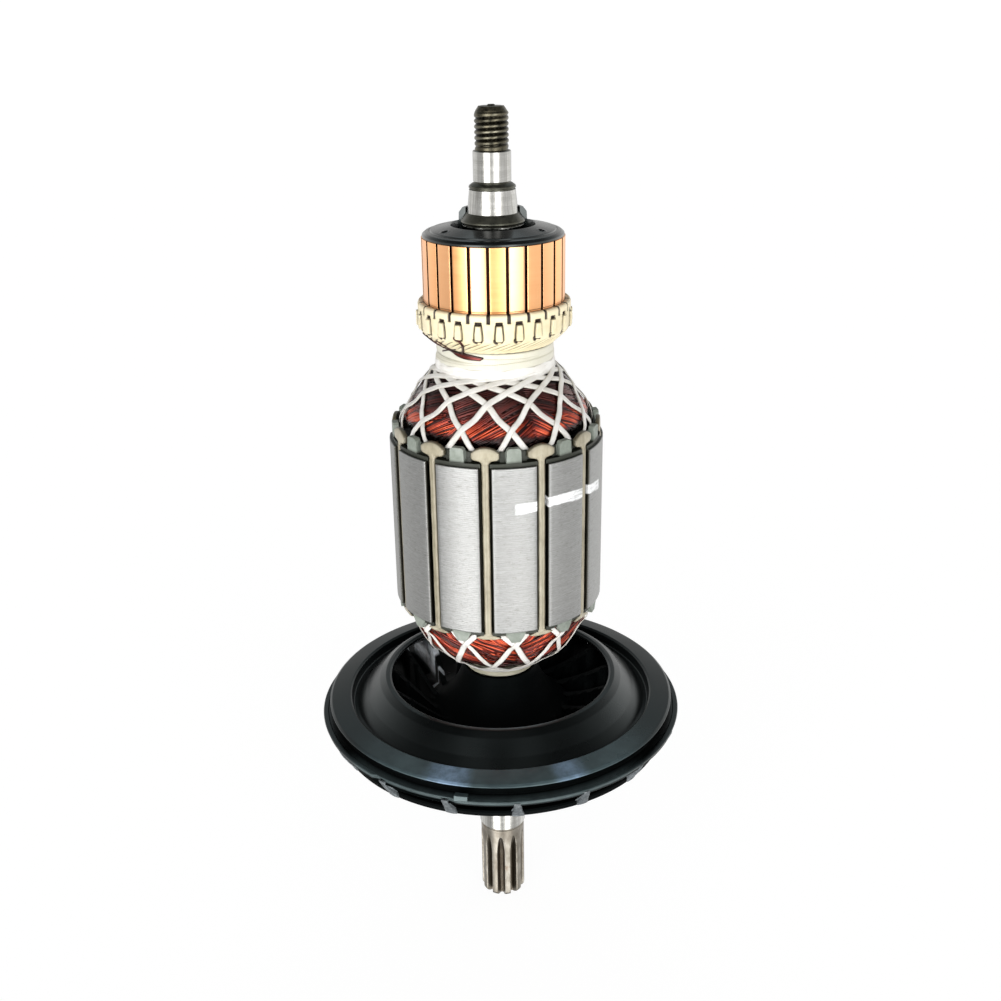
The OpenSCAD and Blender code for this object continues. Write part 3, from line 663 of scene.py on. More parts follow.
def green():
    m = Mat("end_fibre", (0.21, 0.235, 0.205), rough=0.5, spec=0.3)
    a = m.noise(m.scaled(650, 650, 650), 1.0, 4.0, 0.6)
    b = m.noise(m.scaled(170, 170, 200), 1.0, 3.0, 0.6)
    zz = m.z_mm()
    base = m.ramp(m.math("ADD", m.math("MULTIPLY", a, 0.4), m.math("MULTIPLY", b, 0.6)),
                  [(0.3, (0.13, 0.15, 0.125)), (0.5, (0.21, 0.235, 0.205)), (0.7, (0.29, 0.315, 0.285))])
    # painted shade: the fibre darkened between the tabs above the core, in a band at the core's top, and between the
    # flares below it
    cell = m.math("ABSOLUTE", m.math("MULTIPLY", m.math("SUBTRACT", m.math("FRACT", m.math("DIVIDE", m.math("SUBTRACT", m.az(), -366.1), 30.0)), 0.5), 30.0))
    off = m.ramp(m.math("DIVIDE", cell, 15.0), [(0.27, 0.0), (0.31, 1.0)])
    body = m.math("MULTIPLY", m.band(zz, 141.0, 141.2, 145.5, 146.0), m.math("MAXIMUM", off, m.band(zz, 141.0, 141.2, 142.4, 143.4)))
    low_off = m.ramp(m.math("DIVIDE", cell, 15.0), [(0.33, 0.0), (0.38, 1.0)])
    body = m.math("MAXIMUM", body, m.math("MULTIPLY", m.band(zz, 94.0, 94.2, 98.6, 99.0), low_off))
    m.link(m.mix(m.math("MULTIPLY", body, 0.95), base, (0.016, 0.018, 0.011)), "Base Color")
    m.link(m.bump(a, 0.25, 0.0001), "Normal")
    return m


def sleeve():
    m = Mat("cream_collar", (0.66, 0.63, 0.50), rough=0.42)
    a = m.noise(m.scaled(300, 300, 700), 1.0, 4.0, 0.6)
    m.link(m.ramp(a, [(0.3, (0.36, 0.34, 0.25)), (0.7, (0.50, 0.48, 0.38))]), "Base Color")
    m.link(m.bump(a, 0.2, 0.0001), "Normal")
    return m


def tip_plastic():
    m = Mat("blade_end_plastic", (0.10, 0.11, 0.12), rough=0.6, spec=0.3)
    a = m.noise(m.scaled(1100, 1100, 1100), 1.0, 4.0, 0.7)
    m.link(m.ramp(a, [(0.3, (0.045, 0.052, 0.056)), (0.5, (0.085, 0.097, 0.104)), (0.72, (0.19, 0.205, 0.215))]), "Base Color")
    m.link(m.bump(a, 0.5, 0.0001), "Normal")
    return m


M_TIP = tip_plastic()
M_SEAT, M_OXIDE, M_THREAD, M_PINION = steel_ground(), steel_dark(), steel_thread(), steel_pinion()
M_CORE, M_BAR, M_MICA, M_MOULD = core_steel(), copper_bar(), mica(), moulding()
M_FAN, M_BLADE, M_RESIN = fan_plastic(), blade_plastic(), resin()
M_TAPE, M_NECK, M_WIRE, M_COIL = tape("lacing_tape"), tape("neck_tape", 0.72), enamel(), coil_under()
M_PAPER, M_LINER, M_GREEN, M_SLEEVE = paper(), liner(), green(), sleeve()

# ------------------------------------------------------------------ shaft
SHAFT = [(5.9, 23.2), (5.95, 23.3), (5.95, 23.4), (6.2, 23.4), (6.45, 23.75), (6.45, 39.7), (6.25, 39.9), (6.25, 40.7),
         (6.6, 41.0), (6.6, 77.2), (6.0, 77.6), (6.0, 196.5)]
acc = Acc()
lathe(acc, fillet(SHAFT, 0.12), 160)
acc.piece("shaft_body", M_SEAT, replaces=["rotor_shaft"])

acc = Acc()
lathe(acc, fillet([(6.0, 196.0), (6.05, 196.5), (5.49, 201.9, 0.06)], 0.05), 160)
lathe(acc, fillet([(4.3, 203.6), (4.5, 203.8, 0.1), (4.5, 210.5, 0.1), (4.35, 210.62)], 0.1), 160)
acc.piece("shaft_upper_seats", M_SEAT)

acc = Acc()
lathe(acc, fillet([(5.50, 201.88), (5.42, 201.98, 0.05), (5.25, 202.0, 0.03), (5.25, 202.22, 0.03), (5.63, 202.36, 0.14), (5.45, 202.8, 0.3),
                   (4.75, 203.3, 0.4), (4.32, 203.5, 0.05), (4.3, 203.62)], 0.08), 160)
acc.piece("shaft_shoulder", M_OXIDE)


def thread_piece():
    pitch, top, base = 1.25, 220.5, 210.6
    nphi, nz = 112, 160
    phi = np.arange(nphi) * 360.0 / nphi
    z = np.concatenate([np.linspace(base, 212.0, 12), np.linspace(212.05, 220.45, nz)])
    P, C, D = np.zeros((nphi, len(z), 3)), np.zeros((nphi, len(z))), np.zeros((nphi, len(z)))
    for i, ph in enumerate(phi):
        # position inside the thread turn: 0 at a crest; the helix climbs to the right
        u = ((z - 218.75) / pitch - ph / 360.0) % 1.0
        d = np.minimum(u, 1 - u)
        depth = 0.44 * np.clip((d - 0.10) / 0.40, 0, 1) ** 1.5
        env = np.interp(z, [210.6, 210.9, 211.5, 213.2, 217.6, 218.6, 219.6], [0.0, 0.35, 0.6, 1.0, 1.0, 0.55, 0.0])
        r0 = np.interp(z, [210.6, 210.75, 211.0, 211.6, 212.1, 212.6, 219.0, 220.45], [4.3, 3.98, 3.93, 3.93, 3.96, 3.99, 3.99, 3.0])
        r = r0 - depth * env
        r = np.minimum(r, np.interp(z, [210.6, 219.1, 220.45], [4.4, 4.0, 3.0]))
        P[i] = ring(np.full(len(z), ph), r, z)
        # D is painted shade deep in the thread valleys; C marks the crests for a painted highlight
        D[i] = np.clip((d - 0.24) / 0.16, 0, 1) * np.interp(z, [211.4, 212.2, 217.8, 218.8], [0, 1, 1, 0])
        C[i] = np.clip(1.25 - d / 0.16, 0, 1) * np.interp(z, [211.8, 213.0, 217.9, 219.0], [0, 1, 1, 0.1])
    a = Acc()
    a.add(P, grid(nphi, len(z), True), crest=C, deep=D)
    lathe(a, fillet([(2.86, 220.44), (2.72, 220.5, 0.05), (1.05, 220.5, 0.1), (0.75, 220.84, 0.15), (0.002, 220.85)], 0.1), nphi, crest=0.25)
    return a.piece("shaft_thread", M_THREAD, sharp=60)


thread_piece()


def pinion_piece():
    teeth, root, top_r = 10, 4.2, 6.17
    gap_r = np.array([0.0, 0.10, 0.35, 0.75, 1.3, 1.97, 2.9])      # height above the gap's floor
    gap_w = np.array([0.02, 0.33, 0.50, 0.66, 0.86, 1.08, 1.5])    # half width there
    pitch = 360.0 / teeth
    # samples across one pitch, dense on the flanks
    t = np.concatenate([np.linspace(-18, -15.2, 3, endpoint=False), np.linspace(-15.2, -9.4, 8, endpoint=False), np.linspace(-9.4, -2.5, 13, endpoint=False),
                        np.linspace(-2.5, 2.5, 7), np.linspace(9.4, 2.5, 13, endpoint=False)[::-1], np.linspace(15.2, 9.4, 8, endpoint=False)[::-1],
                        np.linspace(18, 15.2, 3, endpoint=False)[::-1]])
    t = np.unique(np.round(t, 5))[:-1]
    z = np.concatenate([[0.0, 0.02, 0.08, 0.2, 0.38, 0.6, 0.9, 1.3], np.linspace(2.0, 14.0, 13), np.linspace(14.4, 22.2, 40), [22.6, 22.85, 22.95, 23.05, 23.2]])
    out_r = np.interp(z, [0, 0.02, 0.08, 0.2, 0.38, 0.6, 0.9, 1.3, 22.6, 22.85, 22.95, 23.05, 23.2],
                      [4.9, 5.05, 5.25, 5.52, 5.78, 5.98, 6.12, 6.17, 6.17, 6.15, 6.10, 5.96, 5.93])
    shift = np.where(z > 14.2, 12 - np.sqrt(np.clip(144 - (z - 14.2) ** 2, 0, None)), 0.0)
    phi_all = (np.arange(teeth)[:, None] * pitch + t[None, :] + 30.25).ravel()
    rr, gg = np.zeros((len(phi_all), len(z))), np.zeros((len(phi_all), len(z)))
    for i, ph in enumerate(np.tile(t, teeth)):
        for j in range(len(z)):
            lim, floor = out_r[j], root + shift[j]
            if floor >= lim:
                rr[i, j] = lim
                continue
            # the flank: walk out until the gap's half width equals this point's distance from its middle
            rads = np.linspace(floor, max(lim, floor + 1e-3), 30)
            half = np.interp(rads - floor, gap_r, gap_w)
            off = np.abs(rads * math.sin(math.radians(ph)))
            inside = half >= off
            r = lim if inside.all() and abs(ph) > 12 else (rads[np.argmax(~inside)] if (~inside).any() and inside[0] else floor)
            # first radius at which the point is inside the gap again from the floor outwards
            if not inside[0]:
                k = np.argmax(inside)
                r = rads[k] if inside.any() else lim
            else:
                r = floor
            rr[i, j] = min(r, lim)
            # gg is painted shade, darker the deeper a point lies in its gap
            gg[i, j] = np.clip((lim - rr[i, j] - 0.35) / 1.1, 0, 1)
    # ease the tips
    soft = rr.copy()
    for _ in range(1):
        soft = 0.25 * np.roll(soft, 1, 0) + 0.5 * soft + 0.25 * np.roll(soft, -1, 0)
    rr = np.where(rr > 4.8, np.minimum(rr, soft + 0.02), rr)
    P = ring(phi_all[:, None], rr, z[None, :])
    a = Acc()
    a.add(P, grid(len(phi_all), len(z), True), gap=gg)
    # end face and centre hole
    first = P[:, 0, :]
    k = len(phi_all)
    inner = ring(phi_all, 1.9, 0.0)
    cone = ring(phi_all, 0.6, 2.4)
    tip = ring(phi_all, 0.01, 2.45)
    # the centre hole is painted dark as shade
    a.add(np.concatenate([first, inner, cone, tip]),
          np.concatenate([np.stack([np.arange(k) + o, np.arange(k) + o + k, (np.arange(k) + 1) % k + o + k, (np.arange(k) + 1) % k + o], -1)
                          for o in (0, k, 2 * k)]), gap=np.concatenate([np.zeros(2 * k), np.ones(2 * k)]))
    return a.piece("shaft_pinion", M_PINION, sharp=50)


pinion_piece()

# ------------------------------------------------------------------ collar, hub, bars
acc = Acc()
lathe(acc, fillet([(6.06, 193.3), (6.85, 193.3), (6.85, 194.0, 0.1), (7.45, 194.2, 0.06), (7.6, 194.5, 0.10), (7.5, 194.8, 0.12), (6.25, 196.5, 0.08),
                   (6.06, 196.5)], 0.05), 160, closed=True)
acc.piece("collar", M_OXIDE, replaces=["collar_ring"])


def burnished():
    m = Mat("burnished_drum", (0.16, 0.16, 0.15), metallic=1.0, rough=0.13)
    a = m.noise(m.scaled(420, 420, 900), 1.0, 3.0, 0.6)
    m.link(m.ramp(a, [(0.40, (0.03, 0.031, 0.028)), (0.6, (0.34, 0.34, 0.32))]), "Base Color")
    m.link(m.bump(a, 0.5, 0.00012), "Normal")
    return m


acc = Acc()
lathe(acc, fillet([(6.9, 191.25), (7.42, 191.25), (7.42, 192.7, 0.05), (7.36, 192.85, 0.05), (7.36, 193.85), (6.9, 193.85)], 0.06), 120, closed=True)
acc.piece("collar_drum", burnished(), sharp=40)


def hub_piece():
    a = Acc()
    face = [(10.3, 193.85, 0.12)] + [(r, 193.85 - (r - 10.3) * 0.2234) for r in np.arange(10.9, 14.9, 0.14)]
    pts = [(9.47, 190.9), (9.6, 191.4), (9.72, 191.7), (10.1, 193.7, 0.12)] + face + [(15.0, 192.78, 0.14), (15.12, 192.42, 0.05), (15.5, 192.5, 0.2),
           (16.3, 192.3, 0.5), (16.95, 191.75, 0.4), (17.05, 191.3, 0.1), (16.95, 191.15), (16.0, 190.9)]
    prof = fillet(pts, 0.08, 5, 8.0)
    seg = 384
    phi = np.arange(seg) * 360.0 / seg
    r = np.tile(prof[:, 0], (seg, 1))
    z = np.tile(prof[:, 1], (seg, 1))
    for c in (-58.0, 58.0, 208.0):
        d = np.sqrt((r - 13.2) ** 2 + (np.radians((phi[:, None] - c + 180) % 360 - 180) * 13.2) ** 2)
        z -= np.where(z > 192.85, 0.55 * np.clip((0.82 - d) / 0.25, 0, 1) - 0.07 * np.exp(-((d - 0.98) / 0.14) ** 2), 0)
    a.add(ring(phi[:, None], r, z), grid(seg, len(prof), True))
    # floor of the recess and the standing half collar behind the shaft
    lathe(a, fillet([(6.3, 191.15), (7.6, 191.2), (9.5, 191.3), (9.66, 191.5)], 0.15), 160)
    ph = np.linspace(101.7, 258.3, 60)
    col = fillet([(7.4, 191.1), (8.5, 191.1), (8.25, 196.4, 0.3), (7.35, 197.55, 0.25), (6.62, 197.6, 0.15), (6.62, 196.3, 0.1), (7.72, 194.9), (7.72, 194.2),
                  (7.4, 193.9)], 0.1, 3, 12, closed=True)
    P = ring(ph[:, None], col[None, :, 0], col[None, :, 1])
    n = len(col)
    m = len(ph) * n
    mids = [P[0].mean(0), P[-1].mean(0)]
    T = [[m, (j + 1) % n, j] for j in range(n)] + [[m + 1, m - n + j, m - n + (j + 1) % n] for j in range(n)]
    a.add(np.concatenate([P.reshape(-1, 3), mids]), grid(len(ph), n, False, True), T)
    return a.piece("commutator_moulding", M_MOULD, sharp=42, replaces=["commutator_hub"])


hub_piece()
NODES["mica_plates"].data.materials.clear()
NODES["mica_plates"].data.materials.append(M_MICA.m)
NODES["commutator_bush"].data.materials.clear()
NODES["commutator_bush"].data.materials.append(M_OXIDE.m)


def bars_piece():
    a = Acc()
    prof = fillet([(12.0, 191.2), (16.95, 191.2, 0.02), (17.2, 191.12, 0.05), (17.2, 176.42, 0.03), (17.08, 176.34, 0.02), (17.14, 176.24, 0.02),
                   (17.14, 175.3, 0.02), (17.14, 171.0, 0.08), (12.0, 171.0)], 0.05)
    keep = 20
    n = len(prof)
    t = np.array([-1, -0.985, -0.955, -0.8, -0.5, -0.2, 0.2, 0.5, 0.8, 0.955, 0.985, 1])
    drop = np.array([0.05, 0.02, 0, 0, 0, 0, 0, 0, 0, 0, 0.02, 0.05])
    for i in range(24):
        mid = -4.5 + 15 * (i + 0.5)
        r = prof[:, 0]
        half = 7.5 - np.degrees(np.arcsin(0.36 / r))
        wob = rng.uniform(-0.012, 0.012)
        P = np.zeros((len(t), n, 3))
        for j, (tt, dd) in enumerate(zip(t, drop)):
            P[j] = ring(mid + tt * half, r - dd * (r > 16.5) + wob * (r > 17), prof[:, 1])
        # dark is painted shade: a band and a thin line below the brush track, and each bar's side walls
        dark = np.interp(prof[:, 1], [174.9, 175.1, 175.9, 176.0, 176.25, 176.33, 176.36, 176.45], [0.0, 0.6, 0.5, 0.06, 0.06, 0.85, 0.85, 0.0])
        dark = np.where(r < 16.4, 0.0, dark)
        v, q = P, grid(len(t), n)
        tris = []
        for side, flip in ((0, False), (len(t) - 1, True)):
            b = side * n
            for k in range(1, n - 1):
                tri = [b, b + k, b + k + 1]
                tris.append(tri[::-1] if flip else tri)
        own = [0.15, 0.9, 0.45, 0.7, 0.2, 0.6][i % 6] + rng.uniform(-0.15, 0.15)
        side_dark = np.repeat(np.where(np.abs(t) > 0.99, 0.9, 0.0), n)
        a.add(v, q, tris, tone=own, dark=np.maximum(np.tile(dark, len(t)), side_dark))
    return a.piece("commutator_bars_turned", M_BAR, sharp=30, replaces=["commutator_bars"])


bars_piece()


def riser_piece():
    """The resin band with a tongue folded up over each bar, and the leads running down its cone."""
    cells, nu = 24, 30
    zt = np.concatenate([np.linspace(175.95, 175.5, 4, endpoint=False), np.linspace(175.5, 169.4, 62, endpoint=False), np.linspace(169.4, 165.9, 34)])
    prof_z = [165.9, 166.1, 166.6, 167.4, 168.2, 168.9, 169.6, 170.4, 175.3, 175.7, 175.95]
    prof_r = [14.55, 14.9, 15.45, 16.35, 17.25, 17.95, 18.40, 18.62, 18.62, 18.50, 18.2]
    base = np.interp(zt, prof_z, prof_r)
    n = cells * nu
    phi = -4.5 + np.arange(n) * 360.0 / n
    R, CR, CO = np.zeros((n, len(zt))), np.zeros((n, len(zt))), np.zeros((n, len(zt)))
    noise_r = rng.uniform(-1, 1, (cells,))
    for i in range(n):
        c, f = divmod(i, nu)
        x = (f / nu - 0.5) * 15.0                       # degrees from the bar's middle
        xm = math.radians(x) * 18.6                     # mm along the surface
        jit = 0.10 * noise_r[c]
        z0, z1 = 169.75 + 0.15 * noise_r[(c * 7 + 3) % cells], 173.55 + 0.1 * noise_r[(c * 5 + 1) % cells]
        half = np.interp(zt, [z0 - 0.2, z0 + 0.35, z0 + 1.6, z1, z1 + 0.5], [0.50, 0.86, 0.84, 0.62, 0.60])
        xx = xm - jit
        inside = np.clip((half - abs(xx)) / 0.10, -1, 1) * 0.5 + 0.5
        zin = np.clip((zt - z0) / 0.12, 0, 1) * np.clip((z1 - zt) / 0.06, 0, 1)
        tongue = inside * zin
        edge = np.exp(-((abs(xx) - half - 0.13) / 0.19) ** 2) * np.clip((zt - z0 + 0.5) / 0.3, 0, 1) * np.clip((z1 + 0.25 - zt) / 0.2, 0, 1)
        under = np.exp(-((zt - z0 + 0.10) / 0.16) ** 2) * (abs(xx) < 0.85)
        # the open fold above the tongue
        fold = np.exp(-(((zt - (z1 + 0.36)) / 0.38) ** 4)) * np.clip((0.86 - abs(xx)) / 0.14, 0, 1)
        # a wire that loops round the tongue's lower left
        cx, cz = -1.05, z0 - 0.05
        rad = np.sqrt((xx - cx - 0.55) ** 2 + (zt - cz - 0.3) ** 2)
        loop = np.exp(-((rad - 0.72) / 0.19) ** 2) * ((xx < -0.35) & (zt < z0 + 0.65))
        seam = np.clip((0.40 - (7.5 - abs(x)) * 0.325) / 0.07, 0, 1) * np.clip((zt - 173.9) / 0.12, 0, 1)
        # leads on the cone run down to the left
        down = np.clip((169.55 - zt) / 3.6, 0, 1)
        lead_x = x + down * 25.0
        ph = ((lead_x + 3.0) / 7.5) % 1.0
        ridge = np.abs(ph - 0.5) * 2
        crease = np.exp(-(((1 - ridge)) / 0.17) ** 2) * np.clip(down * 6 - 0.5, 0, 1)
        gate = 0.5 + 0.5 * math.sin(c * 2.3 + 1.0) if (c % 3) else 0.25
        crease = crease * np.clip((0.85 - down) / 0.35, 0, 1) * (0.45 + 0.55 * gate)
        r = base + 0.46 * tongue - 0.28 * edge * (1 - tongue) - 0.55 * fold - 0.22 * under * (1 - tongue) - 0.13 * loop
        r += np.where(down > 0, (0.16 * np.sin(math.pi * ph) ** 2 - 0.10) * np.clip(down * 4, 0, 1), 0)
        r -= 0.24 * crease
        r -= 0.6 * seam
        R[i] = r
        # CR is painted shade, near black in the folds, creases, wire loops, under the tongues and along the seams
        CR[i] = np.clip(0.85 * edge * (1 - tongue) * (0.7 + 0.3 * noise_r[c]) + 1.0 * fold + 0.6 * under * (1 - tongue) + 0.75 * loop
                        + 0.95 * crease + 1.0 * seam, 0, 1)
        CO[i] = np.clip((zt - 174.3) / 0.9, 0, 1) * 0.75 * np.clip((175.9 - zt) / 0.2, 0.2, 1) * np.clip(1 - 2 * seam, 0, 1)
    P = ring(phi[:, None], R, zt[None, :])
    a = Acc()
    a.add(P, grid(n, len(zt), True)[:, ::-1], crev=CR, copperish=CO)
    # the flat top that meets the bars' groove, and the underside
    # the top's inner edge, at the bars' groove, is painted dark as shade
    gap = np.clip(CR[:, 0], 0, 1)
    top = np.stack([R[:, 0], np.minimum(R[:, 0] - 0.05, 17.4), np.full(n, 17.16) - 0.4 * gap], 1)
    ztop = np.array([175.95, 175.97, 175.9])
    a.add(ring(phi[:, None], top, ztop[None, :]), grid(n, 3, True), crev=np.stack([gap, gap, np.maximum(gap, 0.5)], 1), copperish=0.75)
    bot = np.stack([R[:, -1], np.full(n, 9.6)], 1)
    a.add(ring(phi[:, None], bot, np.array([165.9, 165.95])[None, :]), grid(n, 2, True)[:, ::-1], crev=0.2, copperish=0.0)
    return a.piece("riser_band", M_RESIN, sharp=80, replaces=["riser_resin", "coil_leads"])


riser_piece()


def bare_leads():
    """Red leads that show where the binding leaves a gap, and a few loose loops beside them."""
    a = Acc()
    rs = np.random.RandomState(71)
    cone = [[163.6, 14.35], [164.6, 14.4], [165.2, 14.5], [166.0, 14.85], [167.0, 15.95], [168.2, 17.3], [169.2, 18.2], [170.4, 18.68], [171.5, 18.7]]
    def run(pts, rad, tone, lift=0.1):
        pts = np.array(pts, float)
        t = np.linspace(0, 1, 36)
        k = np.linspace(0, 1, len(pts))
        ph = smooth_interp(t, np.column_stack([k, pts[:, 0]]))
        z = smooth_interp(t, np.column_stack([k, pts[:, 1]]))
        r = smooth_interp(z, cone) + lift
        sweep(a, ring(ph, r, z), ring(ph, np.full_like(z, 0.8), np.full_like(z, -0.5)), round_section(rad, 7), tone=tone)
    for j in range(7):
        d = j / 6.0
        run([(-47 + 3 * d, 165.85 - 0.2 * d), (-38, 165.75 - 0.95 * d), (-26, 165.35 - 1.05 * d), (-11 - 3 * d, 164.75 - 0.5 * d)], 0.24,
            [0.04, 0.30, 0.12, 0.50, 0.22, 0.38, 0.05][j], 0.0)
    run([(-30.7, 170.3), (-27.0, 169.6), (-25.4, 168.5), (-27.5, 167.2), (-32.4, 165.4)], 0.34, 0.16, 0.06)
    run([(-80, 168.2), (-66, 166.9), (-52, 166.2), (-38, 165.6)], 0.22, 0.12, 0.05)
    run([(-36.9, 166.6), (-46, 166.0), (-60, 164.9)], 0.20, 0.12, 0.05)
    run([(-72, 169.0), (-62, 167.7), (-55, 166.0)], 0.20, 0.10, 0.05)
    run([(-52, 168.3), (-47, 167.0), (-44, 165.9)], 0.20, 0.10, 0.05)
    for c in (100.0, 140.0, 178.0, 222.0, 258.0):
        z0 = 168.6 + rs.uniform(-0.3, 0.3)
        run([(c, z0), (c - 7, z0 - 1.4), (c - 13, z0 - 3.0)], 0.21, 0.14, 0.04)
    return a.piece("bare_leads", M_WIRE, sharp=180)


bare_leads()

# ------------------------------------------------------------------ core
SLOT0, NSLOT = -6.1, 12


def core_piece():
    z0, z1, R = 98.3, 141.6, 27.0
    prof = []
    for k in range(NSLOT):
        a0 = SLOT0 + 30 * k
        a1 = a0 + 30
        def off(r):
            return math.degrees(math.asin((1.12 if r < 25.2 else 1.42) / r))
        left = [(a0 + off(r), r) for r in (23.6, 24.6, 25.15, 25.3, 26.45)]
        left += [(a0 + off(26.45) + d, r) for d, r in ((0.06, 26.66), (0.20, 26.84), (0.45, 26.95), (0.80, 27.0))]
        right = [(a0 + a1 - a, r) for a, r in left][::-1]
        s, e = left[-1][0], right[0][0]
        arc = [(s + (e - s) * i / 14, R) for i in range(1, 14)]
        prof += left + arc + right
    prof = np.array(prof)
    n = len(prof)
    zs = np.array([z0, z0 + 0.02, z0 + 0.07, z0 + 0.16, z0 + 0.3, z1 - 0.3, z1 - 0.16, z1 - 0.07, z1 - 0.02, z1])
    dr = np.array([0.18, 0.11, 0.05, 0.012, 0, 0, 0.012, 0.05, 0.11, 0.18])
    zs = np.concatenate([zs[:5], np.linspace(z0 + 0.3, z1 - 0.3, 12)[1:-1], zs[5:]])
    dr = np.concatenate([dr[:5], np.zeros(10), dr[5:]])
    rr = prof[:, 1][:, None] - dr[None, :] * (prof[:, 1][:, None] > 26.3)
    P = ring(prof[:, 0][:, None], rr, zs[None, :])
    a = Acc()
    # edge is painted shade: full on the slot lips, fading out towards the tooth faces, and 0.55 on the end faces
    edge = np.interp(prof[:, 1], [25.0, 26.6, 26.9, 26.97, 26.99], [1.0, 1.0, 0.75, 0.25, 0.0])
    a.add(P, grid(n, len(zs), True), edge=np.repeat(edge, len(zs)))
    for side, z in ((0, z0), (len(zs) - 1, z1)):
        outer = P[:, side, :]
        inner = ring(prof[:, 0], 12.0, z)
        q = np.stack([np.arange(n), (np.arange(n) + 1) % n, (np.arange(n) + 1) % n + n, np.arange(n) + n], -1)
        a.add(np.concatenate([outer, inner]), q if side else q[:, ::-1], edge=0.55)
    return a.piece("core_stack", M_CORE, sharp=42, replaces=["lamination_stack"])


core_piece()
NODES["slot_liners"].data.materials.clear()
NODES["slot_liners"].data.materials.append(M_LINER.m)


def wedge_piece():
    """A closing strip in each slot mouth, with its cap above the core and its flare below."""
    a = Acc()
    def slab(k, outline, r0, r1, bow, z_mid, soft=0.22, edge_in=0.5):
        outline = np.asarray(outline, float)
        n = len(outline)
        mid = outline.mean(0)
        rows, shade = [], []
        steps = [(r0, 0.0), (r0, 0.0), (r1 - soft, 0.0), (r1 - soft * 0.35, soft * 0.28), (r1, soft), (r1 + bow * 0.6, soft + 0.7), (r1 + bow, 99)]
        for j, (r, inset) in enumerate(steps):
            d = outline - mid
            ln = np.linalg.norm(d, axis=1, keepdims=True)
            pts = mid + d * np.clip(1 - inset / ln, 0.02, 1)
            if j == 0:
                pts = mid + d * 0.02
            rows.append(np.column_stack([pts[:, 0], np.full(n, r), pts[:, 1]]))
            shade.append(np.full(n, [1.0, 1.0, 0.75, edge_in, edge_in * 0.3, 0.0, 0.0][j]))
        Q = np.stack(rows, 0)
        ang = math.radians(SLOT0 + 30 * k)
        ex, ey = np.array([math.cos(ang), math.sin(ang), 0]), np.array([math.sin(ang), -math.cos(ang), 0])
        P = Q[..., 0:1] * ex + Q[..., 1:2] * ey + Q[..., 2:3] * np.array([0, 0, 1.0])
        a.add(P, grid(len(steps), n, False, True)[:, ::-1], edge=np.stack(shade, 0))
    rs = np.random.RandomState(51)
    for k in range(NSLOT):
        w = 0.90 + rs.uniform(-0.04, 0.04)
        zz = np.linspace(97.9, 142.3, 40)
        wob = 0.03 * np.sin(zz * 0.6 + rs.uniform(0, 6))
        right = np.column_stack([w + wob, zz])
        left = np.column_stack([-w + wob, zz])[::-1]
        # the strip: a shallow ridge down its middle
        ang = math.radians(SLOT0 + 30 * k)
        ex, ey = np.array([math.cos(ang), math.sin(ang), 0]), np.array([math.sin(ang), -math.cos(ang), 0])
        off = np.array([-1.0, -0.98, -0.75, -0.3, 0.0, 0.3, 0.75, 0.98, 1.0]) * w
        rad = np.array([25.2, 26.05, 26.25, 26.36, 26.30, 26.38, 26.27, 26.05, 25.2])
        shade = np.array([1.0, 0.8, 0.25, 0.0, 0.42, 0.0, 0.15, 0.7, 1.0])
        P = (off[None, :, None] + wob[:, None, None]) * ex + rad[None, :, None] * ey + zz[:, None, None] * np.array([0, 0, 1.0])
        a.add(P, grid(len(zz), len(off))[:, ::-1], edge=np.tile(shade, (len(zz), 1)))
        th = np.linspace(math.radians(46.0), math.radians(134.0), 17)
        grow = 1 + rs.uniform(-0.03, 0.01)
        cap = [(4.95 * math.cos(t) * grow, 141.6 + 4.95 * math.sin(t)) for t in th]
        cap += [(-3.42 * grow, 143.9), (-2.9, 143.45), (-1.5, 143.1), (-0.95, 142.6), (-0.9, 141.0), (0.9, 141.0), (0.95, 142.6), (1.5, 143.1),
                (2.9, 143.45), (3.42 * grow, 143.9)]
        slab(k, fillet(cap, 0.35, 3, 12, closed=True), 25.08, 26.12, 0.18, 144.5, 0.3, 0.55)
        fl = [(0.85, 98.6), (0.9, 97.7), (1.5, 97.2), (3.0, 96.7), (3.15, 96.4), (1.5, 95.98), (-1.5, 95.98), (-3.15, 96.4), (-3.0, 96.7), (-1.5, 97.2),
              (-0.9, 97.7), (-0.85, 98.6)]
        slab(k, fillet(fl, 0.3, 3, 12, closed=True), 24.95, 26.0, 0.12, 96.8, 0.25, 0.45)
    return a.piece("wedges", M_PAPER, sharp=50, replaces=["slot_wedges"])


wedge_piece()
cad_piece("upper_fibre_tabs", "upper_end_insulator", M_GREEN, 0.14, sharp=35)
cad_piece("lower_fibre_tabs", "lower_end_insulator", M_GREEN, 0.12, sharp=35)

# ------------------------------------------------------------------ windings
UP = np.array([[22.3, 142.2], [22.45, 145.0], [23.3, 146.6], [23.2, 147.5], [22.5, 149.1], [21.75, 150.2],
               [20.35, 152.1], [19.1, 154.1], [18.35, 155.1], [17.45, 156.2], [16.45, 157.3], [15.5, 158.3], [14.3, 159.3], [13.2, 159.9]])
LO = np.array([[22.4, 97.4], [23.7, 95.6], [23.95, 94.0], [22.7, 92.0], [21.8, 90.0], [20.9, 88.0],
               [19.7, 86.0], [17.6, 84.0], [15.1, 82.0], [12.7, 80.2], [10.8, 79.7]])


def coil_body():
    a = Acc()
    up = [(9.6, 160.2), (12.3, 160.0)] + [(r - 0.75, z - 0.3) for r, z in UP[::-1]] + [(9.6, 142.7)]
    lathe(a, fillet(up, 0.8), 160)
    lo = [(9.7, 97.2)] + [(r - 0.75, z + 0.3) for r, z in LO] + [(9.8, 80.0)]
    lathe(a, fillet(lo, 0.8), 160)
    lathe(a, fillet([(9.6, 165.95), (13.7, 165.95), (13.6, 160.0), (12.6, 159.8)], 0.1), 120)
    return a.piece("coil_core", M_COIL, sharp=60, replaces=["armature_coils"], flip=True)


coil_body()
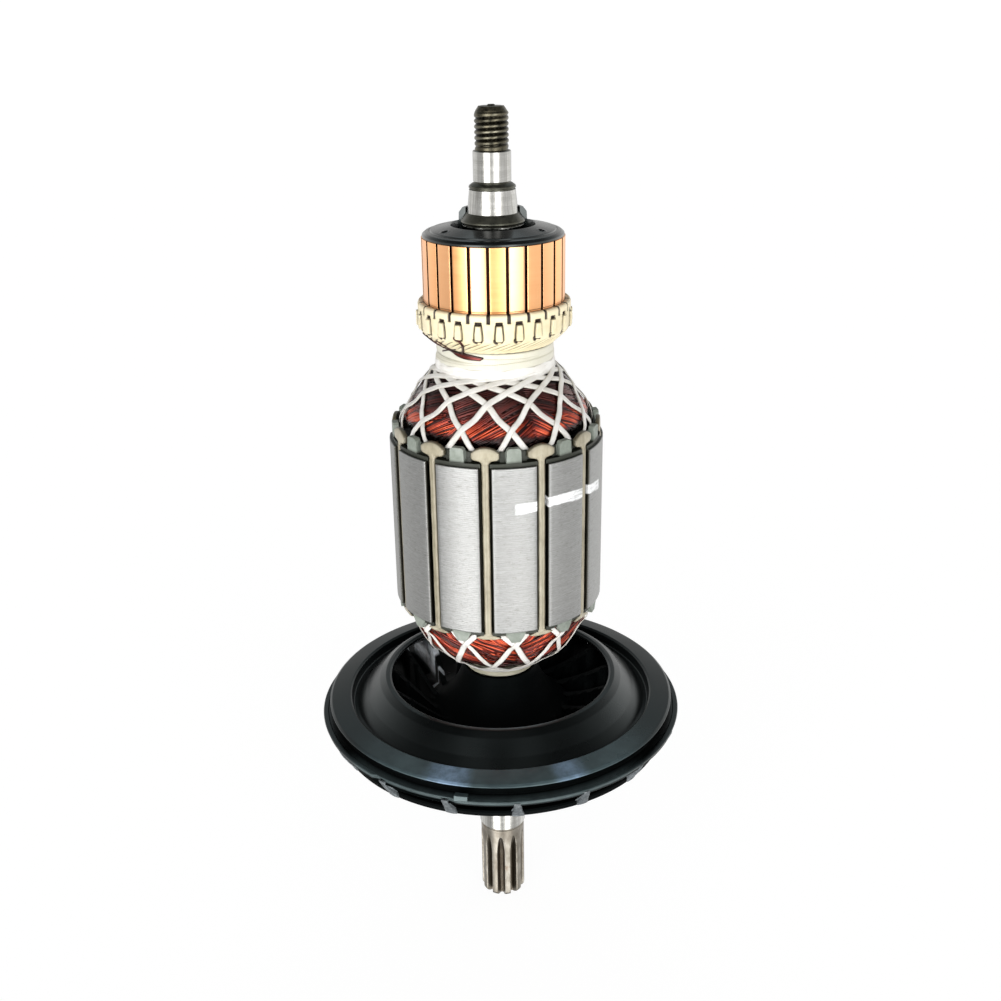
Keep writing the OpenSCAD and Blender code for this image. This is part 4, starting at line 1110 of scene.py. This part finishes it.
# a ring inside the upper tabs, dark between them as painted shade, covering the tapes' lower ends
acc = Acc()
lathe(acc, fillet([(24.2, 142.9), (24.2, 144.7), (24.5, 145.2), (24.9, 145.1), (25.0, 144.6), (25.0, 142.9)], 0.2), 160, tab=0.0)
acc.piece("upper_shade_collar", M_GREEN, flip=True)


def head_wires(name, surf, top_coil, wires, hi, seed, dark_s, shade_s, power, fan_out, turn_at, r_wire):
    """Arcs of enamelled wire: each coil leaves one slot, climbs over the head and goes down five slots on."""
    rs = np.random.RandomState(seed)
    seg = np.linalg.norm(np.diff(surf, axis=0), axis=1)
    S = np.concatenate([[0], np.cumsum(seg)])
    nrm = np.gradient(surf, axis=0)
    nrm /= np.linalg.norm(nrm, axis=1, keepdims=True)
    nrm = np.stack([np.abs(nrm[:, 1]), -nrm[:, 0] * np.sign(nrm[:, 1])], -1)
    a = Acc()
    for rank in range(NSLOT):
        k = (top_coil + 1 + rank) % NSLOT
        left, g_lift, g_tone = 0, 0.0, 0.0
        a1, a2 = rs.uniform(0, TAU, 2)
        for j in range(wires):
            f = j / (wires - 1.0)
            if left == 0:
                left = rs.randint(2, 5)
                g_lift, g_tone = rs.uniform(-0.14, 0.05), rs.uniform(-0.2, 0.16)
            left -= 1
            top = hi[0] + (hi[1] - hi[0]) * f + rs.uniform(-0.25, 0.25)
            u = np.linspace(0.0, 1.0, 34)
            u = 0.5 - 0.5 * np.sign(0.5 - u) * np.abs(1 - 2 * u) ** 0.8
            s = -1.2 + (top + 1.2) * (1 - np.abs(2 * u - 1) ** power)
            wide = (f - 0.5) * fan_out + rs.uniform(-0.35, 0.35)
            start, end = SLOT0 + 30 * k + 6.0 - wide, SLOT0 + 30 * k + 144.0 + wide
            bell = np.sin(math.pi * u)
            phi = start + (end - start) * u + 0.8 * np.sin(u * 7 + a1 + f) * bell
            s = s + 0.25 * np.sin(u * 6 + a2 + 1.5 * f) * bell + 0.05 * np.sin(u * 17 + rs.uniform(0, 6)) * bell
            rr, zz = np.interp(s, S, surf[:, 0]), np.interp(s, S, surf[:, 1])
            nr, nz = np.interp(s, S, nrm[:, 0]), np.interp(s, S, nrm[:, 1])
            # on one half of the head the rising sides lie on top, on the other the falling ones
            rel = (phi - turn_at + 180.0) % 360.0 - 180.0
            side = np.clip(np.minimum(-rel, rel + 180.0) / 5.0, -1, 1)
            over = side * np.clip((0.5 - u) / 0.06, -1, 1)
            lift = -0.50 + 0.20 * over + g_lift + rs.uniform(-0.07, 0.07)
            rr, zz = rr + nr * lift, zz + nz * lift
            # painted light and shade: tone follows height over the head, bright on the belt and darker on top, and
            # wires lying under others are darker
            tone = (0.80 + g_tone + rs.choice([-0.62, -0.3, 0.0, 0.15, 0.22])) * np.interp(s, shade_s[0], shade_s[1])
            tone = np.maximum(tone, 0.05) * np.interp(over, [-1, 1], [0.2, 1.0])
            # painted shade: near black along the foot of the head
            edge_s = dark_s + 0.45 * np.sin(np.radians(phi) * 6 + 1.0) + 0.3 * np.sin(np.radians(phi) * 11)
            keep = 0.05 + 0.95 * np.clip((s - edge_s) / 0.7, 0, 1)
            tone = np.clip(tone, 0.03, 1.0) * keep
            sweep(a, ring(phi, rr, zz), ring(phi, nr, nz), round_section(r_wire, 6), caps=False, tone=np.repeat(tone, 6))
    return a.piece(name, M_WIRE, sharp=180)


head_wires("upper_wires", UP[1:], 10, 19, (6.5, 17.2), 5, 2.7, ((2.0, 3.2, 5.4, 7.4, 13.0), (0.6, 1.0, 0.9, 0.36, 0.18)), 2.1, 20.0, 24.0, 0.30)
head_wires("lower_wires", LO[1:], 10, 17, (6.5, 16.8), 9, -0.6, ((0.0, 1.5, 9.0, 12.0, 16.0), (0.85, 1.0, 1.0, 0.45, 0.3)), 1.9, 20.0, 14.0, 0.33)

# ------------------------------------------------------------------ lacing
UPPER_R = [[143.6, 24.1], [145.0, 24.0], [146.4, 23.9], [147.6, 23.5], [149.1, 22.65], [150.2, 21.95], [152.1, 20.5], [154.1, 19.25],
           [155.1, 18.5], [156.2, 17.6], [157.3, 16.6], [158.3, 15.65], [158.9, 15.0], [159.4, 14.55], [159.9, 14.35]]
UPPER_T = [[143.6, -9.6], [145.4, -6.7], [149.2, 0], [151.6, 7.5], [154.5, 15], [156.9, 30], [158.0, 42], [158.9, 56], [159.4, 66], [159.9, 80]]
LOWER_R = [[79.6, 11.9], [80.0, 12.6], [80.7, 13.75], [82.0, 15.45], [84.0, 17.95], [86.0, 19.95], [88.0, 21.1], [90.0, 22.0], [92.0, 22.95],
           [94.0, 24.25], [95.6, 24.4], [96.6, 24.2]]
LOWER_T = [[79.6, 44], [80.0, 36], [80.7, 27], [82.0, 21], [84.2, 15], [88.5, 6.5], [93.0, 0], [95.0, -4.0], [96.6, -7.6]]


def surf_normal(z, table, sgn=1.0):
    dr = (smooth_interp(z + 0.35, table) - smooth_interp(z - 0.35, table)) / 0.7
    s = np.sqrt(1 + dr * dr)
    return 1 / s, -dr / s


def upper_lacing(name, sgn, node, lift, cross):
    rs = np.random.RandomState(21 if sgn > 0 else 22)
    a = Acc()
    for k in range(NSLOT):
        mid = SLOT0 + 30 * (k + 0.5)
        z = np.concatenate([np.linspace(143.7, 158.9, 52, endpoint=False), np.linspace(158.9, 159.9, 16)])
        r, turn = smooth_interp(z, UPPER_R), smooth_interp(z, UPPER_T)
        wob = 0.35 * np.sin((z - 143) * 0.55 + rs.uniform(0, 6)) * rs.uniform(0.3, 1.0)
        nr, nz = surf_normal(z, UPPER_R)
        bump = sum(np.exp(-((z - c) / w) ** 2) for c, w in cross)
        h = lift[0] + lift[1] * np.clip(bump, 0, 1) + 0.03 * np.sin(z * 2.2 + rs.uniform(0, 6))
        P = ring(mid + sgn * turn + wob, r + nr * h, z + nz * h)
        N = ring(mid + sgn * turn + wob, nr, nz)
        # the tape runs on round the neck and under the binding
        tail_t = np.linspace(0, 1, 22)[1:]
        base_turn = 80 + tail_t * 80
        zt = 159.9 + 2.6 * tail_t**1.2
        rt = 14.35 + h[-1] * 0.6 + 0.12 * np.sin(tail_t * 3.1) - 0.55 * np.clip(tail_t - 0.55, 0, 1) / 0.45
        Pt = ring(mid + sgn * base_turn, rt, zt)
        Nt = ring(mid + sgn * base_turn, np.ones_like(zt), np.full_like(zt, 0.12))
        width = 1.48 + 0.10 * rs.uniform(-1, 1)
        sweep(a, np.concatenate([P, Pt]), np.concatenate([N, Nt]), tape_section(width, 0.30))
    return a.piece(name, M_TAPE, sharp=60, replaces=[node])


CROSS_UP = [(149.2, 1.1), (154.5, 0.9), (156.9, 0.6), (158.2, 0.6)]
upper_lacing("lacing_upper_under", -1, "upper_lacing_under", (0.05, 0.0), CROSS_UP)
upper_lacing("lacing_upper_over", 1, "upper_lacing_over", (0.12, 0.24), CROSS_UP)


def lower_lacing(name, sgn, node, lift, cross):
    rs = np.random.RandomState(31 if sgn > 0 else 32)
    a = Acc()
    for k in range(NSLOT):
        mid = SLOT0 + 30 * (k + 0.5)
        z = np.concatenate([np.linspace(96.5, 80.7, 50, endpoint=False), np.linspace(80.7, 79.6, 14)])
        r, turn = smooth_interp(z, LOWER_R), smooth_interp(z, LOWER_T)
        wob = 0.4 * np.sin((z - 80) * 0.5 + rs.uniform(0, 6)) * rs.uniform(0.3, 1.0)
        dr = (smooth_interp(z + 0.35, LOWER_R) - smooth_interp(z - 0.35, LOWER_R)) / 0.7
        s = np.sqrt(1 + dr * dr)
        nr, nz = 1 / s, -dr / s
        bump = sum(np.exp(-((z - c) / w) ** 2) for c, w in cross)
        h = lift[0] + lift[1] * np.clip(bump, 0, 1) + 0.03 * np.sin(z * 2.2 + rs.uniform(0, 6))
        P = ring(mid + sgn * turn + wob, r + nr * h, z + nz * h)
        N = ring(mid + sgn * turn + wob, nr, nz)
        sweep(a, P, N, tape_section(1.45 + 0.1 * rs.uniform(-1, 1), 0.30))
    return a.piece(name, M_TAPE, sharp=60, replaces=[node])


CROSS_LO = [(93.0, 1.2), (84.2, 1.0)]
lower_lacing("lacing_lower_under", 1, "lower_lacing_under", (0.05, 0.0), CROSS_LO)
lower_lacing("lacing_lower_over", -1, "lower_lacing_over", (0.12, 0.24), CROSS_LO)


def neck_piece():
    rs = np.random.RandomState(41)
    a = Acc()
    lathe(a, fillet([(12.95, 165.6), (13.5, 165.5), (13.9, 164.6), (13.9, 162.5), (13.8, 160.6), (13.2, 160.1)], 0.2), 120)
    wraps = [(161.0, 14.02, 2.4, 0.2, 10), (162.6, 14.0, 2.4, 0.35, 30), (164.3, 13.98, 2.2, 0.3, 200), (165.0, 14.12, 1.6, 0.15, 170),
             (161.5, 14.22, 2.3, 0.75, -8), (163.0, 14.18, 2.1, 0.95, 12), (164.1, 14.16, 1.6, 0.6, 150), (162.2, 14.34, 1.9, 0.6, -20)]
    for i, (zc, rc, w, tilt, at) in enumerate(wraps):
        phi = np.arange(150) * 360.0 / 150
        a1, a2 = rs.uniform(0, TAU, 2)
        z = zc + tilt * np.sin(np.radians(phi - at)) + 0.06 * np.sin(2 * np.radians(phi) + a2)
        r = rc + 0.04 * np.sin(np.radians(phi) * 3 + a2)
        z = np.minimum(z, 165.5 - w / 2 + 0.5)
        P = ring(phi, r, z)
        Nn = ring(phi, np.ones_like(phi), np.full_like(phi, 0.0))
        sweep(a, np.concatenate([P, P[:1]]), np.concatenate([Nn, Nn[:1]]), tape_section(w, 0.30, 6), caps=False)
    return a.piece("neck_wraps", M_NECK, sharp=60, replaces=["neck_binding"])


neck_piece()


def lower_ring():
    a = Acc()
    rs = np.random.RandomState(43)
    for zc, rc, w in ((79.75, 12.45, 1.3), (79.1, 11.7, 1.35), (78.85, 10.7, 1.1)):
        phi = np.arange(120) * 3.0
        a1 = rs.uniform(0, TAU)
        z = zc + 0.10 * np.sin(np.radians(phi) * 2 + a1)
        r = rc + 0.08 * np.sin(np.radians(phi) * 3 + a1)
        P = ring(phi, r, z)
        N = ring(phi, np.full_like(phi, 0.75), np.full_like(phi, -0.65))
        sweep(a, np.concatenate([P, P[:1]]), np.concatenate([N, N[:1]]), tape_section(w, 0.32, 5), caps=False)
    return a.piece("lower_cord_ring", M_TAPE, sharp=60, replaces=["lower_binding"])


lower_ring()

# ------------------------------------------------------------------ sleeve and fan
acc = Acc()
lathe(acc, fillet([(6.62, 77.25), (6.62, 75.7), (9.1, 75.7, 0.2), (9.4, 76.0, 0.2), (9.4, 77.9, 0.3), (9.1, 78.2, 0.2), (7.6, 78.2, 0.1), (7.6, 168.0),
                   (6.0, 168.0), (6.0, 77.65)], 0.1), 160)
acc.piece("sleeve_collar", M_SLEEVE, replaces=["insulating_sleeve"], flip=True)


def shroud_piece():
    a = Acc()
    pts = [(29.72, 71.9), (29.6, 72.2, 0.1), (29.75, 72.9, 0.2), (30.3, 73.25, 0.25), (31.3, 73.1, 0.7), (33.0, 71.9, 2.5), (36.4, 68.5, 6.0), (39.2, 66.15, 2.0),
           (40.4, 65.7, 0.35), (40.75, 68.1, 0.35), (41.3, 68.45, 0.3), (46.2, 67.6, 0.4), (46.85, 67.1, 0.2), (46.6, 66.7, 0.12), (45.4, 66.3, 0.2), (45.2, 66.0, 0.2), (45.2, 64.3, 0.2),
           (45.4, 64.1, 0.15), (47.3, 64.05, 0.1), (47.5, 64.22, 0.08), (48.6, 64.18, 0.12), (48.78, 63.95, 0.1), (48.5, 63.6, 0.1), (48.45, 62.95, 0.08),
           (48.3, 62.75, 0.06), (47.9, 62.42, 0.1), (40.05, 64.02, 0.8), (36.05, 66.67, 1.0),
           (31.95, 70.47, 0.8), (30.25, 71.77, 0.2)]
    prof = fillet(pts, 0.3, 7, 3.0, closed=True)
    r, z = prof[:, 0], prof[:, 1]
    # the flange top is marked for a painted highlight line; ridge and lip mark where the material paints sheen and
    # highlight
    worn = np.zeros(len(prof))
    worn = np.maximum(worn, np.where((r > 47.2) & (z > 63.55) & (z < 64.5), 0.95, 0.0))
    ridge = np.where((r > 41.2) & (r < 46.95) & (z > 66.85), 1.0, 0.0)
    lip = np.where((r > 30.0) & (r < 31.0) & (z > 72.9), 1.0, 0.0)
    shade = np.where((r > 44.9) & (z > 62.9) & (z < 66.85) & ((r < 47.2) | (z < 63.5)), 1.0, 0.0)
    seg = 240
    lathe(a, prof, seg, closed=True, worn=worn, ridge=ridge, lip=lip, shade=shade)
    # the flange's lower half is cut back to the left of the step
    v = a.v[-1].reshape(seg, len(prof), 3)
    ph = np.arange(seg) * 360.0 / seg
    away = np.where(ph > 180, ph - 360, ph)
    cut = np.clip((away + 41.5) / 0.8, 0, 1) * np.clip((-13.4 - away) / 0.6, 0, 1)
    m = (r > 48.2) & (z > 62.8)
    scale = 1 - cut[:, None] * m[None, :] * (0.62 / 48.8)
    v[:, :, 0] *= scale
    v[:, :, 1] *= scale
    a.v[-1] = v.reshape(-1, 3)
    # the moulded step on the flange
    ph = np.linspace(-13.9, -10.0, 9)
    rr = np.array([47.2, 48.55, 48.65, 48.65, 48.55, 47.2])
    zz = np.array([65.35, 65.35, 65.25, 63.9, 63.85, 63.85])
    P = ring(ph[:, None], rr[None, :], zz[None, :])
    tris = []
    for j in range(1, 5):
        tris += [[0, j, j + 1], [8 * 6, 8 * 6 + j + 1, 8 * 6 + j]]
    # the step carries the flange's painted highlight
    a.add(P, grid(9, 6, False, True)[:, ::-1], tris, worn=0.9, ridge=0.0, lip=0.0, shade=0.0)
    return a.piece("fan_cover", M_FAN, sharp=40, replaces=["fan_shroud"])


shroud_piece()
cad_piece("fan_wheel", "fan_impeller", M_BLADE, 0.0, sharp=28)


def blade_ends():
    """Rough moulded ends of the blades, flared towards the back plate."""
    a = Acc()
    rs = np.random.RandomState(61)
    for i in range(17):
        c = 4.6 + 21.176 * i
        zz = np.array([57.42, 57.9, 58.6, 59.6, 60.8, 62.0, 63.0, 63.6])
        rr = np.array([45.12, 45.35, 45.8, 46.55, 47.35, 48.05, 48.5, 48.62])
        hw = np.array([1.62, 1.60, 1.45, 1.15, 0.95, 0.88, 0.86, 0.84])
        lean = np.array([0.5, 0.45, 0.35, 0.15, 0.0, -0.15, -0.3, -0.4]) * (1 if i % 2 else 0.6)
        u = np.array([-1.0, -1.0, -0.9, -0.4, 0.0, 0.4, 0.9, 1.0, 1.0])
        dr = np.array([-1.0, -0.25, 0.0, 0.10, 0.12, 0.10, 0.0, -0.25, -1.0])
        x = u[None, :] * hw[:, None] + lean[:, None] + rs.uniform(-0.04, 0.04, (len(zz), len(u)))
        r = rr[:, None] + dr[None, :] + rs.uniform(-0.03, 0.03, (len(zz), len(u)))
        phi = c + np.degrees(x / 47.0)
        P = ring(phi, r, zz[:, None] + 0 * u[None, :])
        cap0, cap1 = P[0].mean(0), P[-1].mean(0)
        n = len(u)
        m = len(zz) * n
        V = np.concatenate([P.reshape(-1, 3), [cap0, cap1]])
        T = [[m, j, j + 1] for j in range(n - 1)] + [[m + 1, m - n + j + 1, m - n + j] for j in range(n - 1)]
        a.add(V, grid(len(zz), n)[:, ::-1], T)
    return a.piece("fan_blade_ends", M_TIP, sharp=60)


blade_ends()

# ------------------------------------------------------------------ studio
bowl = [(0.0, 0.0), (1.5, 0.0), (3.0, 0.0), (3.6, 0.08), (4.1, 0.3), (4.5, 0.7), (4.8, 1.3), (4.95, 2.0), (5.0, 3.0), (5.0, 5.0)]
bowl_n = 64
fv = [(r * math.cos(TAU * i / bowl_n), r * math.sin(TAU * i / bowl_n), z) for i in range(bowl_n) for r, z in bowl]
fq = [tuple(int(c) for c in q) for q in grid(bowl_n, len(bowl), True)]
fp = bpy.data.meshes.new("floor")
fp.from_pydata(fv, [], fq)
fp.shade_smooth()
floor = bpy.data.objects.new("floor", fp)
COL.objects.link(floor)
floor.location = (0, 0, -0.0002)
floor.visible_glossy = False
floor.visible_diffuse = False
floor.visible_transmission = False
fm = bpy.data.materials.new("pale_floor")
fm.use_nodes = True
ft = fm.node_tree
ft.nodes.clear()
fo = ft.nodes.new("ShaderNodeOutputMaterial")
fe = ft.nodes.new("ShaderNodeEmission")
fe.inputs[0].default_value = (1, 1, 1, 1)
fe.inputs[1].default_value = 0.93
fd = ft.nodes.new("ShaderNodeBsdfDiffuse")
fd.inputs[0].default_value = (0.16, 0.16, 0.16, 1)
fa = ft.nodes.new("ShaderNodeAddShader")
ft.links.new(fe.outputs[0], fa.inputs[0])
ft.links.new(fd.outputs[0], fa.inputs[1])
ft.links.new(fa.outputs[0], fo.inputs[0])
fp.materials.append(fm)

world = bpy.data.worlds.new("studio")
scene.world = world
world.use_nodes = True
wt = world.node_tree
wt.nodes.clear()


class WorldMat(Mat):
    def __init__(self, tree):
        self.t = tree


w = WorldMat(wt)
wo = wt.nodes.new("ShaderNodeOutputWorld")
bg = wt.nodes.new("ShaderNodeBackground")
wt.links.new(bg.outputs[0], wo.inputs[0])
gen = wt.nodes.new("ShaderNodeTexCoord").outputs["Generated"]
x, y, z = w.xyz(gen)
az = w.math("MULTIPLY", w.math("ARCTAN2", x, w.math("MULTIPLY", y, -1.0)), 57.29578)   # 0 is behind the camera
el = w.math("MULTIPLY", w.math("ARCSINE", z), 57.29578)
u = w.math("ADD", w.math("DIVIDE", az, 360.0), 0.5)
STRIPES = [(-180, 0.5), (-162, 0.9), (-138, 1.15), (-116, 1.3), (-98, 1.0), (-87, 0.95), (-76, 0.85), (-63, 0.8), (-54, 0.95), (-48, 3.0),
           (-43, 5.8), (-22, 6.5), (-15, 3.0), (-8, 1.3), (5, 1.2), (11, 2.4), (17, 5.2), (33, 5.4), (41, 2.0), (50, 1.3), (60, 1.15), (75, 1.15),
           (92, 1.2), (107, 1.55), (132, 1.6), (155, 1.0), (180, 0.5)]
band = w.ramp(u, [((a + 180) / 360.0, v / 7.0) for a, v in STRIPES])
band = w.math("MULTIPLY", w.xyz(band)[0], 7.0)
# the strips reach from below the bench to a little above eye level
low = w.ramp(w.math("DIVIDE", w.math("ADD", el, 90.0), 180.0),
             [(0.0, 0.22), (0.17, 0.30), (0.26, 0.90), (0.33, 1.0), (0.57, 1.0), (0.67, 0.34), (0.77, 0.09), (1.0, 0.05)])
strength = w.math("MULTIPLY", band, w.xyz(low)[0])
# a cool window high up behind the bench
back = w.math("MULTIPLY", w.band(w.math("ABSOLUTE", az), 128.0, 150.0, 400.0, 401.0), w.band(el, 27.0, 36.0, 50.0, 60.0))
strength = w.math("MAXIMUM", strength, w.math("MULTIPLY", back, 0.7))
tint = w.mix(back, (1.0, 0.995, 0.985), (0.88, 1.0, 1.03))
wt.links.new(tint, bg.inputs[0])
wt.links.new(strength, bg.inputs[1])

cam_data = bpy.data.cameras.new("camera")
cam_data.lens = 43.238
cam_data.sensor_width = 36.0
cam_data.clip_start = 0.01
cam_data.clip_end = 20.0
cam = bpy.data.objects.new("camera", cam_data)
COL.objects.link(cam)
pitch, yaw, roll = math.radians(22.173), math.radians(0.1595), math.radians(-0.8658)
fwd = Vector((math.sin(yaw) * math.cos(pitch), math.cos(yaw) * math.cos(pitch), -math.sin(pitch)))
right = Vector((math.cos(yaw), -math.sin(yaw), 0))
up = right.cross(fwd)
r2 = math.cos(roll) * right + math.sin(roll) * up
u2 = -math.sin(roll) * right + math.cos(roll) * up
cam.matrix_world = Matrix(((r2.x, u2.x, -fwd.x, 0.0), (r2.y, u2.y, -fwd.y, -0.289034),
                           (r2.z, u2.z, -fwd.z, 0.24061), (0, 0, 0, 1)))
scene.camera = cam
scene.view_settings.view_transform = "Standard"
scene.view_settings.look = "None"
scene.view_settings.exposure = 0.0
scene.view_settings.gamma = 1.0
